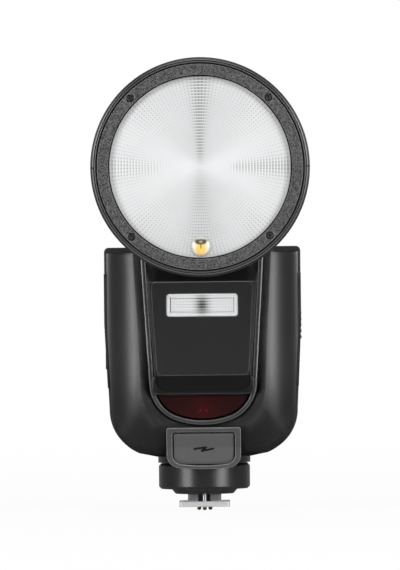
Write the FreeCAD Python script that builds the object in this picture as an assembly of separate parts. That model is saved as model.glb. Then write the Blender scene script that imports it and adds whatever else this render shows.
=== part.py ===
import FreeCAD, Part
import math
import os
from FreeCAD import Vector

# A round-head camera flash in millimetres. Z is up, the front looks along -Y,
# and the origin is the middle of the hot-shoe plate's underside, on the pan axis.

# A name that ends in _in or _out says how far an edge lies inside or outside the one it follows.

# Clearances
fit_gap = 0.1
run_gap = 0.05
free_gap = 0.3
wall = 2.0
seam = 0.01

# Hot-shoe foot, to ISO 518
foot_width = 18.6
foot_length = 18.0
foot_thick = 2.0
foot_corner = 0.9
stem_width = 12.2
stem_length = 15.0
stem_height = 2.7
stem_block = 3.8
slat_width = 1.4
contact_radius = 0.75
contact_spread = 2.07
contact_row = 3.2
contact_drop = 1.5
contact_travel = 1.2
contact_head = 0.3
insert_half = 3.4
stem_end = 1.0

# Neck under the body, with the turning lock collar
flange_low_radius = 10.7
flange_radius = 12.3
flange_height = 1.8
core_radius = 9.0
collar_radius = 16.8
collar_height = 9.4
collar_chamfer = 0.9
neck_radius = 17.0
neck_height = 2.6
lock_pin_radius = 0.9
lock_pin_y = -6.6
wire_hole_radius = 2.6

# Body outline seen from the front: half widths, and heights above its underside
body_height = 76.8
body_half = 36.2
body_straight_from_in = 27.8
body_straight_from = body_height - body_straight_from_in
slope_from_in = 19.2
slope_from = body_half - slope_from_in
slope_end_in = 12.2
slope_end = (body_half - slope_end_in, 1.3)
corner_through_in = 5.5
corner_through = (body_half - corner_through_in, 6.0)
corner_end_in = 1.5
corner_end = (body_half - corner_end_in, 17.0)
corner_share = 0.8
front_narrower = 1.1
front_lower = 2.2
top_round = 1.7

# Body outline seen from above and from the side
part_line = -2.0
rear_depth = 26.5
rear_corner = 14.0
front_depth = 28.0
front_bulge = 2.4
rear_bulge = 2.2
bulge_share = 0.38
front_corner = 16.0
front_round_from = 27.0
front_foot_depth = 19.6
rear_round_from = 8.5
rear_foot_depth = 18.5
foot_rise = 0.8
sweep_radius_out = 1.2
sweep_radius = body_half + sweep_radius_out
sweep_drop = 12.0
sweep_spread = 4.2

# U-shaped recess in the front, measured on its floor
recess_floor = 22.5
recess_top_half_in = 13.6
recess_top_half = body_half - recess_top_half_in
recess_low_half_in = 2.9
recess_low_half = recess_top_half - recess_low_half_in
recess_low = 27.2
recess_through_in = 3.8
recess_through = (recess_low_half - recess_through_in, 17.2)
recess_turn_in = 10.2
recess_turn = (recess_low_half - recess_turn_in, 13.1)
recess_bottom = 11.6
turn_sag = 0.4
turn_slope = (0.3, 0.95)
through_slope = (0.75, 0.66)
ridge_spread = 3.3
ridge_flare = 1.35
ridge_past = 1.5
trim_width = 1.6
trim_height = 2.1

# Side openings, for the battery and the ports
side_low = 25.2
side_high_in = 9.6
side_high = body_height - side_high_in
side_front = -12.0
side_back = 14.0
side_round = 2.0

# Turret that pans on the body and carries the head
seat_radius_in = 10.2
seat_radius = body_half - seat_radius_in
seat_thick = 4.2
turret_radius_in = 0.6
turret_radius = seat_radius - turret_radius_in
turret_thick = 3.4
spigot_radius = 15.0
spigot_flange = 17.2
spigot_flange_thick = 1.6
cable_hole = 6.0
tilt_above = 28.35
knuckle_half = 13.0
knuckle_radius = 12.4
knuckle_foot = 16.0
axle_radius = 3.0
axle_half = 22.0

# Head, turned about its own axis; distances run forward from the tilt axis
head_front = 67.0
head_radius = 39.5
head_rim_from = 50.0
head_bend_in = 2.2
head_bend = (48.2, head_radius - head_bend_in)
head_shoulder_in = 7.0
head_shoulder = (45.6, head_radius - head_shoulder_in)
rim_share = (0.4, 1)
bend_share = (0.7, 0.8)
shoulder_share = (0.8, 0.2)
neck_share = (0.6, 1)
head_neck_from = 42.4
head_neck_radius_in = 15.9
head_neck_radius = head_radius - head_neck_radius_in
head_neck_round_in = 4.6
head_neck_round = head_neck_radius - head_neck_round_in
neck_end = 11.0
cheek_half = 24.0
cheek_radius = 14.5
cheek_round = 4.0
slot_front = 17.5
slot_lean = 3.6
rim_step = 1.1
rim_step_depth = 1.1
rim_slope = 0.5
rim_set_back = 0.6
ring_gap = 0.45
ring_radius_in = 2.05
ring_radius = head_radius - ring_radius_in
ring_thick = 1.8
ring_chamfer = 0.5
ring_reach = 2.4
lens_opening_in = 4.6
lens_opening = ring_radius - lens_opening_in
lens_radius_out = 1.05
lens_radius = lens_opening + lens_radius_out
lens_thick = 2.0
groove_count = 6
groove_edge = 2.4
groove_depth = 0.7
ring_screw_circle_in = 2.35
ring_screw_circle = ring_radius - ring_screw_circle_in
ring_screw_head = 1.5
ring_screw_head_thick = 0.9
ring_screw_shank = 0.8
ring_screw_length = 6.0
screw_boss_radius = 2.7

# Zoom unit inside the head
reflector_mouth_in = 7.45
reflector_mouth = lens_opening - reflector_mouth_in
reflector_front = 49.0
reflector_back = 34.0
reflector_throat = 7.0
reflector_wall = 0.6
tube_radius = 2.0
tube_half = 17.0
tube_from_back = 4.5
barrel_radius_out = 1.2
barrel_radius = reflector_mouth + barrel_radius_out
barrel_front = 57.0
lug_thick = 2.0
lug_radius = 2.5
rod_circle_in = 5.95
rod_circle = ring_radius - rod_circle_in
rod_radius = 1.0
screw_radius = 1.2
bulkhead_from = 48.0
bulkhead_thick = 1.5
bulkhead_radius_in = 0.9
bulkhead_radius = lens_radius - bulkhead_radius_in
motor_radius = 3.4
motor_length = 4.4
bearing_thick = 1.0

# Modelling lamp below the lens
lamp_drop_in = 4.25
lamp_drop = lens_opening - lamp_drop_in
lamp_radius = 3.65
lamp_base = 0.8
lamp_board_thick = 1.2
lamp_board_half = 5.0
lamp_board_low_out = 4.8
lamp_board_low = lamp_drop + lamp_board_low_out
lamp_board_top_in = 1.3
lamp_board_top = lamp_drop - lamp_board_top_in

# Detachable sub-flash on the front, heights above the body's underside
sub_low = 22.5
sub_high_in = 7.0
sub_high = body_height - sub_high_in
sub_top_half_in = 2.4
sub_top_half = recess_top_half - sub_top_half_in
sub_low_half_in = 2.1
sub_low_half = recess_low_half - sub_low_half_in
sub_corner = 4.5
sub_base_depth = 26.2
sub_face_depth = 31.5
sub_face_low = 29.9
sub_face_high_in = 12.8
sub_face_high = body_height - sub_face_high_in
sub_face_half_in = 1.6
sub_face_half = sub_top_half - sub_face_half_in
sub_face_low_half_in = 0.7
sub_face_low_half = sub_low_half - sub_face_low_half_in
sub_face_corner = 2.2
plug_half_in = 4.2
plug_half = sub_top_half - plug_half_in
plug_low = 32.0
plug_high_in = 14.8
plug_high = body_height - plug_high_in
plug_depth = 8.0
window_half_in = 3.0
window_half = plug_half - window_half_in
window_low_in = 25.5
window_low = body_height - window_low_in
window_high_out = 8.2
window_high = window_low + window_high_out
window_round = 1.1
window_thick = 1.2
window_set_back = 0.4
trough_depth = 6.0
trough_half_high = 2.6
trough_half_in = 1.4
trough_half = window_half - trough_half_in
small_tube_radius = 1.1

# Focus-assist window and lamps under the sub-flash
assist_top = 22.2
assist_depth = 25.3
assist_taper = 0.8
assist_gap = 0.8
assist_lamp_height = 16.9
assist_lamp_radius = 1.85
assist_dot_radius = 0.45
assist_dot_half = 1.0

# Chin over the neck with its flat cover
chin_half = 13.6
chin_low = -4.2
chin_high = 10.6
chin_round = 4.8
chin_top_round = 0.8
chin_sag = 0.5
chin_clear = 1.5
chin_back = 17.5
chin_low_depth = 20.4
chin_mid = (22.3, 3.2)
chin_high_depth = 26.2
cover_half = 11.4
cover_low = -2.8
cover_high = 8.9
cover_round = 3.4
cover_top_round = 0.9
cover_thick = 0.7

# Battery that slides out to +X
battery_margin = 2.4
battery_half_high = (side_high - side_low) / 2 - battery_margin
battery_front = -9.5
battery_back = 10.5
battery_left_in = 16.2
battery_left = battery_left_in - body_half
battery_cap_from_in = 4.7
battery_cap_from = body_half - battery_cap_from_in
sleeve_wall = 1.2
release_width = 9.0
release_height = 5.0
release_travel = 1.0
release_lift = 9.9
release_back = 1.0
contact_room = 2.0

# Ports and their soft covers at -X
port_wall_half_in = 2.8
port_wall_half = body_half - port_wall_half_in
jack_radius = 1.25
jack_body_radius = 3.2
jack_length = 9.0
usb_width = 9.0
usb_height = 3.3
usb_length = 8.0
usb_wall = 0.5
usb_tongue = 0.66
cover_split_up = 0.3
cover_split = (side_low + side_high) / 2 + cover_split_up
cover_skin = 2.6

# Back: display, keys and dial; heights above the body's underside
display_share = 0.534
display_half_in = 15.2
display_half = body_half - display_half_in
display_low = body_height * display_share
display_high_in = 5.8
display_high = body_height - display_high_in
display_glass = 1.2
display_set_back = 0.2
display_module_thick = 3.5
board_half_in = 12.2
board_half = body_half - board_half_in
board_low = 8.0
board_high_in = 6.8
board_high = body_height - board_high_in
board_thick = 1.6
board_back_in = 8.9
board_back = rear_depth - board_back_in
key_row_in = 5.8
key_row = display_low - key_row_in
key_pitch = 10.6
key_width = 8.0
key_height = 4.0
key_round = 0.9
key_proud = 0.9
key_flange = 0.8
key_flange_thick = 0.8
dial_share = 0.554
dial_size_share = 0.318
round_key_share = 0.781
dial_height = key_row * dial_share
dial_radius = key_row * dial_size_share
dial_bore_in = 4.3
dial_bore = dial_radius - dial_bore_in
dial_proud = 1.8
dial_notches = 18
dial_notch_radius = 0.55
set_radius_in = 0.5
set_radius = dial_bore - set_radius_in
set_proud = 1.3
round_key_radius = 3.0
round_key_out = 17.6
round_key_up = key_row * round_key_share
switch_out = 17.6
switch_share = 0.59
switch_up = dial_height * switch_share
switch_width = 7.0
switch_height = 3.4
switch_travel = 2.4

# Inside the body
capacitor_radius = 8.5
capacitor_half = 20.0
capacitor_edge = 0.8
capacitor_height = 11.0
body_screw_radius = 1.7
body_screw_head = 1.0
body_screw_x_in = 8.7
body_screw_x = body_half - body_screw_x_in
body_screw_z = 13.5
screw_socket = 0.7

# Heights that follow from the sizes above
stem_bottom = foot_thick
flange_bottom = stem_bottom + stem_height
collar_bottom = flange_bottom + flange_height + run_gap
neck_bottom = collar_bottom + collar_height + free_gap
body_bottom = neck_bottom + neck_height
body_top = body_bottom + body_height
tilt_height = body_top + tilt_above
head_axis = Vector(0, 0, tilt_height)


def in_front(y):
    return lambda a, b: Vector(a, y, b)


def from_above(z):
    return lambda a, b: Vector(a, b, z)


def from_side(x):
    return lambda a, b: Vector(x, a, b)


def edges_through(points, place):
    # a plain pair is the end of a straight line, a pair of pairs is an arc's middle and end
    here = points[0]
    edges = []
    for step in points[1:]:
        if isinstance(step[0], tuple):
            edges.append(Part.Arc(place(*here), place(*step[0]), place(*step[1])).toShape())
            here = step[1]
        else:
            edges.append(Part.LineSegment(place(*here), place(*step)).toShape())
            here = step
    return edges


def closed_wire(points, place):
    return Part.Wire(edges_through(points + [points[0]], place))


def face(points, place):
    return Part.Face(closed_wire(points, place))


def mirrored_wire(points, place):
    right = edges_through(points, place)
    left = [edge.mirror(Vector(), Vector(1, 0, 0)) for edge in right]
    return Part.Wire(Part.__sortEdges__(right + left))


def mirrored_face(points, place):
    return Part.Face(mirrored_wire(points, place))


def mirrored_x(shape):
    return shape.mirror(Vector(), Vector(1, 0, 0))


def box(low, high):
    size = high - low
    return Part.makeBox(size.x, size.y, size.z, low)


def rod(radius, start, end):
    return Part.makeCylinder(radius, (end - start).Length, start, end - start)


def turned_head(points):
    # an outline of (distance forward, radius) turned about the head's axis
    outline = [Vector(radius, -forward, tilt_height) for forward, radius in points]
    section = Part.Face(Part.makePolygon(outline + [outline[0]]))
    return section.revolve(head_axis, Vector(0, 1, 0), 360)


def turned_up(points):
    # an outline of (radius, height) turned about the pan axis
    outline = [Vector(radius, 0, height) for radius, height in points]
    section = Part.Face(Part.makePolygon(outline + [outline[0]]))
    return section.revolve(Vector(), Vector(0, 0, 1), 360)


def on_arc(centre, radius, angle):
    turn = math.radians(angle)
    return (centre[0] + radius * math.cos(turn), centre[1] + radius * math.sin(turn))


def rounded(half, low, high, corner, place):
    # a rectangle with round corners, symmetrical about the middle plane
    lower = (half - corner, low + corner)
    upper = (half - corner, high - corner)
    points = [
        (0, low),
        (half - corner, low),
        (on_arc(lower, corner, -45), (half, low + corner)),
        (half, high - corner),
        (on_arc(upper, corner, 45), (half - corner, high)),
        (0, high),
    ]
    return mirrored_wire(points, place)


def pad(wire, depth):
    return Part.Face(wire).extrude(Vector(0, depth, 0))


def loft(first, second):
    return Part.makeLoft([first, second], True, True)


def write(node, shape):
    shape.exportStep("parts/" + node + ".step")


# The body's outer form is where three outlines meet: seen from above, from the front and from
# the side. The same function with an inset gives the hollow inside it.
def body_form(inset, narrower, lower, plan):
    top = body_top - lower - inset
    half = body_half - narrower - inset
    low = body_bottom + inset
    shift = body_half - half
    points = [
        (0, low),
        (slope_from, low),
        (slope_end[0] - shift / 2, slope_end[1] + low),
        (
            (corner_through[0] - shift * corner_share, corner_through[1] + low),
            (corner_end[0] - shift, corner_end[1] + low),
        ),
        (half, body_bottom + body_straight_from),
        (half, top),
        (0, top),
    ]
    front = mirrored_face(points, in_front(-head_front)).extrude(Vector(0, 2 * head_front, 0))
    foot = low + foot_rise
    middle = body_bottom + rear_round_from * bulge_share + inset / 2
    side_points = [
        (-front_foot_depth + inset, low),
        (-front_foot_depth + inset, foot),
        (
            (inset + front_bulge - front_depth, body_bottom + front_round_from * bulge_share),
            (-front_depth + inset, body_bottom + front_round_from),
        ),
        (-front_depth + inset, top),
        (rear_depth - inset, top),
        (rear_depth - inset, body_bottom + rear_round_from),
        (
            (rear_depth - inset - rear_bulge, middle),
            (rear_foot_depth - inset, foot),
        ),
        (rear_foot_depth - inset, low),
    ]
    side = face(side_points, from_side(-head_front)).extrude(Vector(2 * head_front, 0, 0))
    return plan.common(front).common(side)


def rear_plan(inset):
    half = body_half - inset
    back = rear_depth - inset
    corner = rear_corner - inset
    centre = (half - corner, back - corner)
    points = [
        (0, part_line),
        (half, part_line),
        (half, back - corner),
        (on_arc(centre, corner, 45), (half - corner, back)),
        (0, back),
    ]
    return mirrored_face(points, from_above(0)).extrude(Vector(0, 0, body_top))


def front_plan(inset):
    half = body_half - front_narrower - inset
    front = front_depth - inset
    corner = front_corner - inset
    centre = (half - corner, corner - front)
    points = [
        (0, part_line),
        (half, part_line),
        (half, corner - front),
        (on_arc(centre, corner, -45), (half - corner, -front)),
        (0, -front),
    ]
    return mirrored_face(points, from_above(0)).extrude(Vector(0, 0, body_top))


def sweep_limit():
    # the turning head passes over the body's corners, so their tops slope inside this cone
    middle = body_top - sweep_drop
    wide = sweep_radius + sweep_spread
    return turned_up([(0, 0), (wide, 0), (wide, middle), (sweep_radius, body_top), (0, body_top)])


def recess_wire(inset, depth, top):
    sag = body_bottom + (recess_bottom + recess_turn[1]) / 2 + inset - turn_sag
    turn = (
        recess_turn[0] - turn_slope[0] * inset,
        body_bottom + recess_turn[1] + turn_slope[1] * inset,
    )
    through = (
        recess_through[0] - through_slope[0] * inset,
        body_bottom + recess_through[1] + through_slope[1] * inset,
    )
    points = [
        (0, body_bottom + recess_bottom + inset),
        ((recess_turn[0] / 2, sag), turn),
        (through, (recess_low_half - inset, body_bottom + recess_low)),
        (recess_top_half - inset, top),
        (0, top),
    ]
    return mirrored_wire(points, in_front(-depth))


def side_slot(grow, side, depth):
    # the tall rectangle that the battery's end or the port covers fill, on one side
    low = body_bottom + side_low - grow
    high = body_bottom + side_high + grow
    front = side_front - grow
    back = side_back + grow
    corner = side_round + grow
    points = [
        (front + corner, low),
        (back - corner, low),
        (on_arc((back - corner, low + corner), corner, -45), (back, low + corner)),
        (back, high - corner),
        (on_arc((back - corner, high - corner), corner, 45), (back - corner, high)),
        (front + corner, high),
        (on_arc((front + corner, high - corner), corner, 135), (front, high - corner)),
        (front, low + corner),
        (on_arc((front + corner, low + corner), corner, 225), (front + corner, low)),
    ]
    outline = Part.Wire(edges_through(points, from_side(side * (body_half + wall))))
    return Part.Face(outline).extrude(Vector(-side * (depth + wall), 0, 0))


def bottom_zone(grow):
    half = slope_end[0] - chin_clear + grow
    depth = neck_radius + grow
    top = body_bottom + wall + grow
    return box(Vector(-half, -depth, 0), Vector(half, depth, top))


def chin_outline(half, low, high, low_corner, high_corner):
    # round at the bottom, nearly square at the top, with a bottom edge that sags in the middle
    lower = (half - low_corner, low + low_corner)
    upper = (half - high_corner, high - high_corner)
    points = [
        (0, low - chin_sag),
        ((lower[0] / 2, low - chin_sag * 3 / 4), (lower[0], low)),
        (on_arc(lower, low_corner, -45), (half, lower[1])),
        (half, upper[1]),
        (on_arc(upper, high_corner, 45), (upper[0], high)),
        (0, high),
    ]
    return mirrored_wire(points, in_front(-head_front))


def chin_solid(grow):
    outline = chin_outline(
        chin_half + grow,
        body_bottom + chin_low - grow,
        body_bottom + chin_high + grow,
        chin_round + grow,
        chin_top_round,
    )
    profile = [
        (-chin_back + grow, body_bottom + chin_low - chin_sag - grow),
        (-chin_low_depth, body_bottom + chin_low - chin_sag - grow),
        (-chin_mid[0], body_bottom + chin_mid[1]),
        (-chin_high_depth, body_bottom + chin_high + grow),
        (-chin_back + grow, body_bottom + chin_high + grow),
    ]
    side = face(profile, from_side(-body_half)).extrude(Vector(2 * body_half, 0, 0))
    return pad(outline, head_front).common(side)


def cover_seat():
    # the slope that the neck cover lies on, as a cutter over the chin
    normal_out = cover_thick
    profile = [
        (-chin_low_depth + normal_out, body_bottom + chin_low - wall),
        (-chin_low_depth + normal_out, body_bottom + chin_low),
        (-chin_mid[0] + normal_out, body_bottom + chin_mid[1]),
        (-chin_high_depth + normal_out, body_bottom + chin_high),
        (-chin_high_depth - wall, body_bottom + chin_high + wall),
        (-chin_high_depth - wall, body_bottom + chin_low - wall),
    ]
    return face(profile, from_side(-body_half)).extrude(Vector(2 * body_half, 0, 0))


def cover_outline(grow):
    wire = chin_outline(
        cover_half + grow,
        body_bottom + cover_low - grow,
        body_bottom + cover_high + grow,
        cover_round + grow,
        cover_top_round,
    )
    return pad(wire, head_front)


def neck_frame():
    return chin_solid(0).cut(cover_outline(fit_gap).common(cover_seat()))


def neck_cover():
    return chin_solid(0).common(cover_outline(0)).common(cover_seat())


def key_places():
    places = []
    for number in range(4):
        across = (number - 1.5) * key_pitch
        places.append(("function_key_%d" % (number + 1), across, body_bottom + key_row))
    return places


def key_wire(across, height, grow, y):
    wire = rounded(
        key_width / 2 + grow,
        height - key_height / 2 - grow,
        height + key_height / 2 + grow,
        key_round + grow,
        in_front(y),
    )
    wire.translate(Vector(across, 0, 0))
    return wire


def round_keys():
    return [
        ("mode_key", -round_key_out, body_bottom + round_key_up),
        ("menu_key", round_key_out, body_bottom + round_key_up),
        ("test_button", round_key_out, body_bottom + switch_up),
    ]


def back_holes():
    # what the rear shell leaves open for the display, the keys, the dial and the switch
    reach = rear_depth - 2 * wall
    holes = []
    display = rounded(
        display_half + fit_gap,
        body_bottom + display_low - fit_gap,
        body_bottom + display_high + fit_gap,
        key_round,
        in_front(reach),
    )
    holes.append(pad(display, 3 * wall))
    for _, across, height in key_places():
        holes.append(pad(key_wire(across, height, fit_gap, reach), 3 * wall))
    for _, across, height in round_keys():
        start = Vector(across, reach, height)
        holes.append(rod(round_key_radius + fit_gap, start, start + Vector(0, 3 * wall, 0)))
    dial = Vector(0, reach, body_bottom + dial_height)
    holes.append(rod(set_radius + fit_gap, dial, dial + Vector(0, 3 * wall, 0)))
    seat = Vector(0, rear_depth - 1, body_bottom + dial_height)
    ring = rod(dial_radius + fit_gap, seat, seat + Vector(0, wall, 0))
    holes.append(ring)
    low = body_bottom + switch_up - switch_height / 2 - fit_gap
    left = -switch_out - (switch_width + switch_travel) / 2 - fit_gap
    size = Vector(switch_width + switch_travel + 2 * fit_gap, wall, switch_height + 2 * fit_gap)
    start = Vector(left, rear_depth - 1, low)
    holes.append(box(start, start + size))
    return holes


def rear_shell():
    block = body_form(0, 0, 0, rear_plan(0))
    rim = [
        edge
        for edge in block.Edges
        if edge.BoundBox.ZMin > body_top - seam and edge.BoundBox.YMax > part_line + seam
    ]
    block = block.makeFillet(top_round, rim).common(sweep_limit())
    seat = Vector(0, 0, body_top)
    boss = rod(seat_radius, seat - Vector(0, 0, seat_thick), seat)
    shell = block.cut(body_form(wall, 0, 0, rear_plan(wall)))
    shell = shell.fuse(boss)
    for side in (-1, 1):
        post = Vector(side * body_screw_x, part_line, body_bottom + body_screw_z)
        boss = rod(2 * body_screw_radius, post, post + Vector(0, rear_depth, 0))
        shell = shell.fuse(boss.common(block))
    cutters = [
        rod(spigot_radius + run_gap, seat - Vector(0, 0, wall * 3), seat + Vector(0, 0, 1)),
        rod(
            spigot_flange + free_gap,
            seat - Vector(0, 0, seat_thick + wall),
            seat - Vector(0, 0, seat_thick - spigot_flange_thick - free_gap),
        ),
        bottom_zone(fit_gap),
        side_slot(fit_gap, 1, 4 * wall),
        side_slot(fit_gap, -1, 4 * wall),
    ]
    shell = shell.cut(cutters + back_holes())
    screws = body_screw_holes(fit_gap)
    return shell.cut(screws).removeSplitter()


def body_screw_holes(grow):
    holes = []
    for side in (-1, 1):
        start = Vector(side * body_screw_x, rear_depth, body_bottom + body_screw_z)
        holes.append(rod(body_screw_radius + grow, start - Vector(0, 2 * wall, 0), start))
    return holes


def front_shell():
    plan = front_plan(0)
    block = body_form(0, front_narrower, front_lower, plan)
    shell = block.cut(body_form(wall, front_narrower, front_lower, front_plan(wall)))
    # a floor behind the recess, and the socket for the sub-flash's back
    floor_top = body_top - front_lower
    depth = front_depth - recess_floor + wall
    floor = pad(recess_wire(-ridge_spread, recess_floor - wall - seam, floor_top), -wall)
    sides = pad(recess_wire(-ridge_spread, front_depth, floor_top), depth)
    shell = shell.fuse([floor.common(block), sides.common(block)])
    back = plug_depth + free_gap - recess_floor
    cup = box(
        Vector(-plug_half - wall, -recess_floor, body_bottom + plug_low - wall),
        Vector(plug_half + wall, back + wall, body_bottom + plug_high + wall),
    )
    shell = shell.fuse(cup)
    hollow = loft(
        recess_wire(0, recess_floor, body_top),
        recess_wire(-ridge_spread * ridge_flare, front_depth + ridge_past, body_top),
    )
    pocket = box(
        Vector(-plug_half - free_gap, -recess_floor - 1, body_bottom + plug_low - free_gap),
        Vector(plug_half + free_gap, back, body_bottom + plug_high + free_gap),
    )
    seat = Vector(0, 0, body_top)
    lamp = Vector(0, -recess_floor, body_bottom + assist_lamp_height)
    pin = cover_hinge()
    bottom = Vector(pin.x, pin.y, body_bottom + side_low)
    swing = rod(cover_skin / 2 + free_gap, bottom, Vector(pin.x, pin.y, body_bottom + side_high))
    cutters = [
        hollow,
        pocket,
        rod(seat_radius + fit_gap, seat - Vector(0, 0, seat_thick + wall), seat),
        bottom_zone(fit_gap),
        side_slot(fit_gap, 1, 4 * wall),
        side_slot(fit_gap, -1, 4 * wall),
        swing,
        chin_solid(fit_gap),
        rod(assist_lamp_radius + fit_gap, lamp - Vector(0, 1, 0), lamp + Vector(0, 3 * wall, 0)),
    ]
    return shell.cut(cutters).removeSplitter()


def bottom_plate():
    form = body_form(0, front_narrower, 0, rear_plan(0).fuse(front_plan(0)))
    plate = form.common(bottom_zone(0)).cut(chin_solid(fit_gap))
    hole = rod(wire_hole_radius * 2, Vector(), Vector(0, 0, body_top))
    return plate.cut(hole).removeSplitter()


def bezel_trim():
    top = body_top - front_lower - fit_gap
    band = pad(recess_wire(fit_gap, recess_floor + trim_height, top), trim_height)
    inner = pad(recess_wire(trim_width, recess_floor + 2 * trim_height, body_top), 4 * trim_height)
    return band.cut(inner)


def assist_window():
    inset = trim_width + fit_gap
    low = recess_wire(inset, recess_floor, body_top)
    high = recess_wire(inset + assist_taper, assist_depth, body_top)
    block = loft(low, high)
    keep = box(
        Vector(-body_half, -front_depth, 0), Vector(body_half, 0, body_bottom + assist_top)
    )
    return block.common(keep)


def assist_lamp():
    centre = Vector(0, -recess_floor, body_bottom + assist_lamp_height)
    lamp = rod(assist_lamp_radius, centre + Vector(0, assist_gap, 0), centre + Vector(0, 3 * wall, 0))
    for side in (-1, 1):
        dot = centre + Vector(side * assist_dot_half, assist_gap, 0)
        lamp = lamp.fuse(Part.makeSphere(assist_dot_radius, dot))
    return lamp


def foot_base():
    # the neck block under the body, and the core that the lock collar turns on
    block = turned_up(
        [
            (wire_hole_radius, neck_bottom),
            (neck_radius, neck_bottom),
            (neck_radius, body_bottom),
            (wire_hole_radius, body_bottom),
        ]
    )
    core = turned_up(
        [
            (wire_hole_radius, flange_bottom + flange_height),
            (core_radius, flange_bottom + flange_height),
            (core_radius, neck_bottom),
            (wire_hole_radius, neck_bottom),
        ]
    )
    return block.fuse(core).cut(lock_pin_way(flange_bottom, neck_bottom)).removeSplitter()


def foot_flange():
    plate = turned_up(
        [
            (0, flange_bottom),
            (flange_low_radius, flange_bottom),
            (flange_radius, flange_bottom + flange_height),
            (0, flange_bottom + flange_height),
        ]
    )
    hole = rod(wire_hole_radius, Vector(), Vector(0, 0, body_bottom))
    return plate.cut([lock_pin_way(0, neck_bottom), hole])


def lock_pin_way(low, high):
    start = Vector(0, lock_pin_y, low)
    return rod(lock_pin_radius + run_gap, start, Vector(0, lock_pin_y, high - wall))


def lock_collar():
    inner = core_radius + run_gap
    top = collar_bottom + collar_height
    cut = collar_chamfer
    return turned_up(
        [
            (inner, collar_bottom),
            (collar_radius - cut, collar_bottom),
            (collar_radius, collar_bottom + cut),
            (collar_radius, top - cut),
            (collar_radius - cut, top),
            (inner, top),
        ]
    )


def lock_pin():
    return rod(lock_pin_radius, Vector(0, lock_pin_y, 0), Vector(0, lock_pin_y, collar_bottom + wall))


def plate_block(half_x, half_y, low, high, corner):
    points = [
        (0, -half_y),
        (half_x - corner, -half_y),
        (on_arc((half_x - corner, corner - half_y), corner, -45), (half_x, corner - half_y)),
        (half_x, half_y - corner),
        (on_arc((half_x - corner, half_y - corner), corner, 45), (half_x - corner, half_y)),
        (0, half_y),
    ]
    outline = mirrored_face(points, from_above(low))
    return outline.extrude(Vector(0, 0, high - low))


def foot_plate():
    plate = plate_block(foot_width / 2, foot_length / 2, 0, foot_thick, foot_corner)
    stem = plate_block(stem_width / 2, stem_length / 2, 0, flange_bottom, foot_corner)
    length = stem_length / 2 - stem_end
    middle = box(Vector(-insert_half, -length, -1), Vector(insert_half, length, foot_thick))
    between = stem_width / 2 - stem_block
    gap = box(
        Vector(-between, -foot_length, stem_bottom),
        Vector(between, foot_length, body_bottom),
    )
    return plate.fuse(stem).cut([middle, gap, lock_pin_way(-1, neck_bottom)]).removeSplitter()


def foot_insert():
    half = insert_half - fit_gap
    length = stem_length / 2 - stem_end - fit_gap
    base = box(Vector(-half, -length, contact_head), Vector(half, length, foot_thick))
    outer = stem_width / 2 - stem_block - fit_gap
    inner = outer - slat_width
    slats = []
    for left in (-outer, inner):
        low = Vector(left, -length, foot_thick)
        slats.append(box(low, Vector(left + slat_width, length, flange_bottom)))
    cutters = [lock_pin_way(-1, neck_bottom)]
    for x, y in contact_places():
        top = Vector(x, y, foot_thick)
        cutters.append(rod(contact_radius + run_gap, Vector(x, y, 0), top))
    return base.fuse(slats).cut(cutters).removeSplitter()


def contact_places():
    return [(0, 0), (-contact_spread, contact_row), (contact_spread, contact_row)]


def contact_pins():
    pins = []
    for x, y in contact_places():
        tip = Vector(x, y, -contact_drop)
        top = Vector(x, y, foot_thick - contact_travel - fit_gap)
        pins.append(rod(contact_radius, tip, top))
    return Part.makeCompound(pins)


def turret():
    # a disc on the body's seat, a spigot through it, and the knuckle that the head turns on
    low = body_top + free_gap
    disc_top = low + turret_thick
    flange_top = body_top - seat_thick + spigot_flange_thick
    flange_low = flange_top - spigot_flange_thick
    disc = turned_up(
        [
            (cable_hole, flange_low),
            (spigot_flange, flange_low),
            (spigot_flange, flange_top),
            (spigot_radius, flange_top),
            (spigot_radius, low),
            (turret_radius - ring_chamfer, low),
            (turret_radius, low + ring_chamfer),
            (turret_radius, disc_top - 2 * ring_chamfer),
            (turret_radius - 2 * ring_chamfer, disc_top),
            (cable_hole, disc_top),
        ]
    )
    profile = [
        (-knuckle_foot, disc_top),
        (-knuckle_radius, tilt_height - knuckle_radius / 2),
        (-knuckle_radius, tilt_height),
        ((0, tilt_height + knuckle_radius), (knuckle_radius, tilt_height)),
        (knuckle_radius, tilt_height - knuckle_radius / 2),
        (knuckle_foot, disc_top),
    ]
    knuckle = face(profile, from_side(-knuckle_half)).extrude(Vector(2 * knuckle_half, 0, 0))
    reach = Vector(axle_half, 0, 0)
    bore = rod(axle_radius + run_gap, head_axis - reach, head_axis + reach)
    hollow = rod(cable_hole, Vector(0, 0, flange_low), Vector(0, 0, tilt_height - knuckle_radius))
    return disc.fuse(knuckle).cut([bore, hollow]).removeSplitter()


def tilt_axle():
    reach = Vector(axle_half, 0, 0)
    return rod(axle_radius, head_axis - reach, head_axis + reach)


def head_profile(inset):
    # the head's outline from its front rim back to the neck behind it; each corner moves in
    # by its own share of the inset, which keeps the wall about even round the bend
    corners = [
        (head_rim_from, head_radius, rim_share),
        (head_bend[0], head_bend[1], bend_share),
        (head_shoulder[0], head_shoulder[1], shoulder_share),
        (head_neck_from, head_neck_radius, neck_share),
    ]
    outline = [(head_front - rim_set_back - rim_step_depth - rim_slope, head_radius - inset)]
    for forward, radius, share in corners:
        outline.append((forward + inset * share[0], radius - inset * share[1]))
    return outline


def neck_section(half, height, corner, forward):
    low = tilt_height - height
    return rounded(half, low, tilt_height + height, corner, in_front(-forward))


def head_neck(inset, back):
    # the neck widens from the drum's round back to the flat-sided block of the hinge
    drum_half = head_neck_radius - inset
    forward = head_neck_from + inset * neck_share[0]
    front = neck_section(drum_half, drum_half, head_neck_round - inset, forward)
    block = neck_section(cheek_half - inset, cheek_radius - inset, cheek_round - inset / 2, back)
    return loft(block, front)


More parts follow.
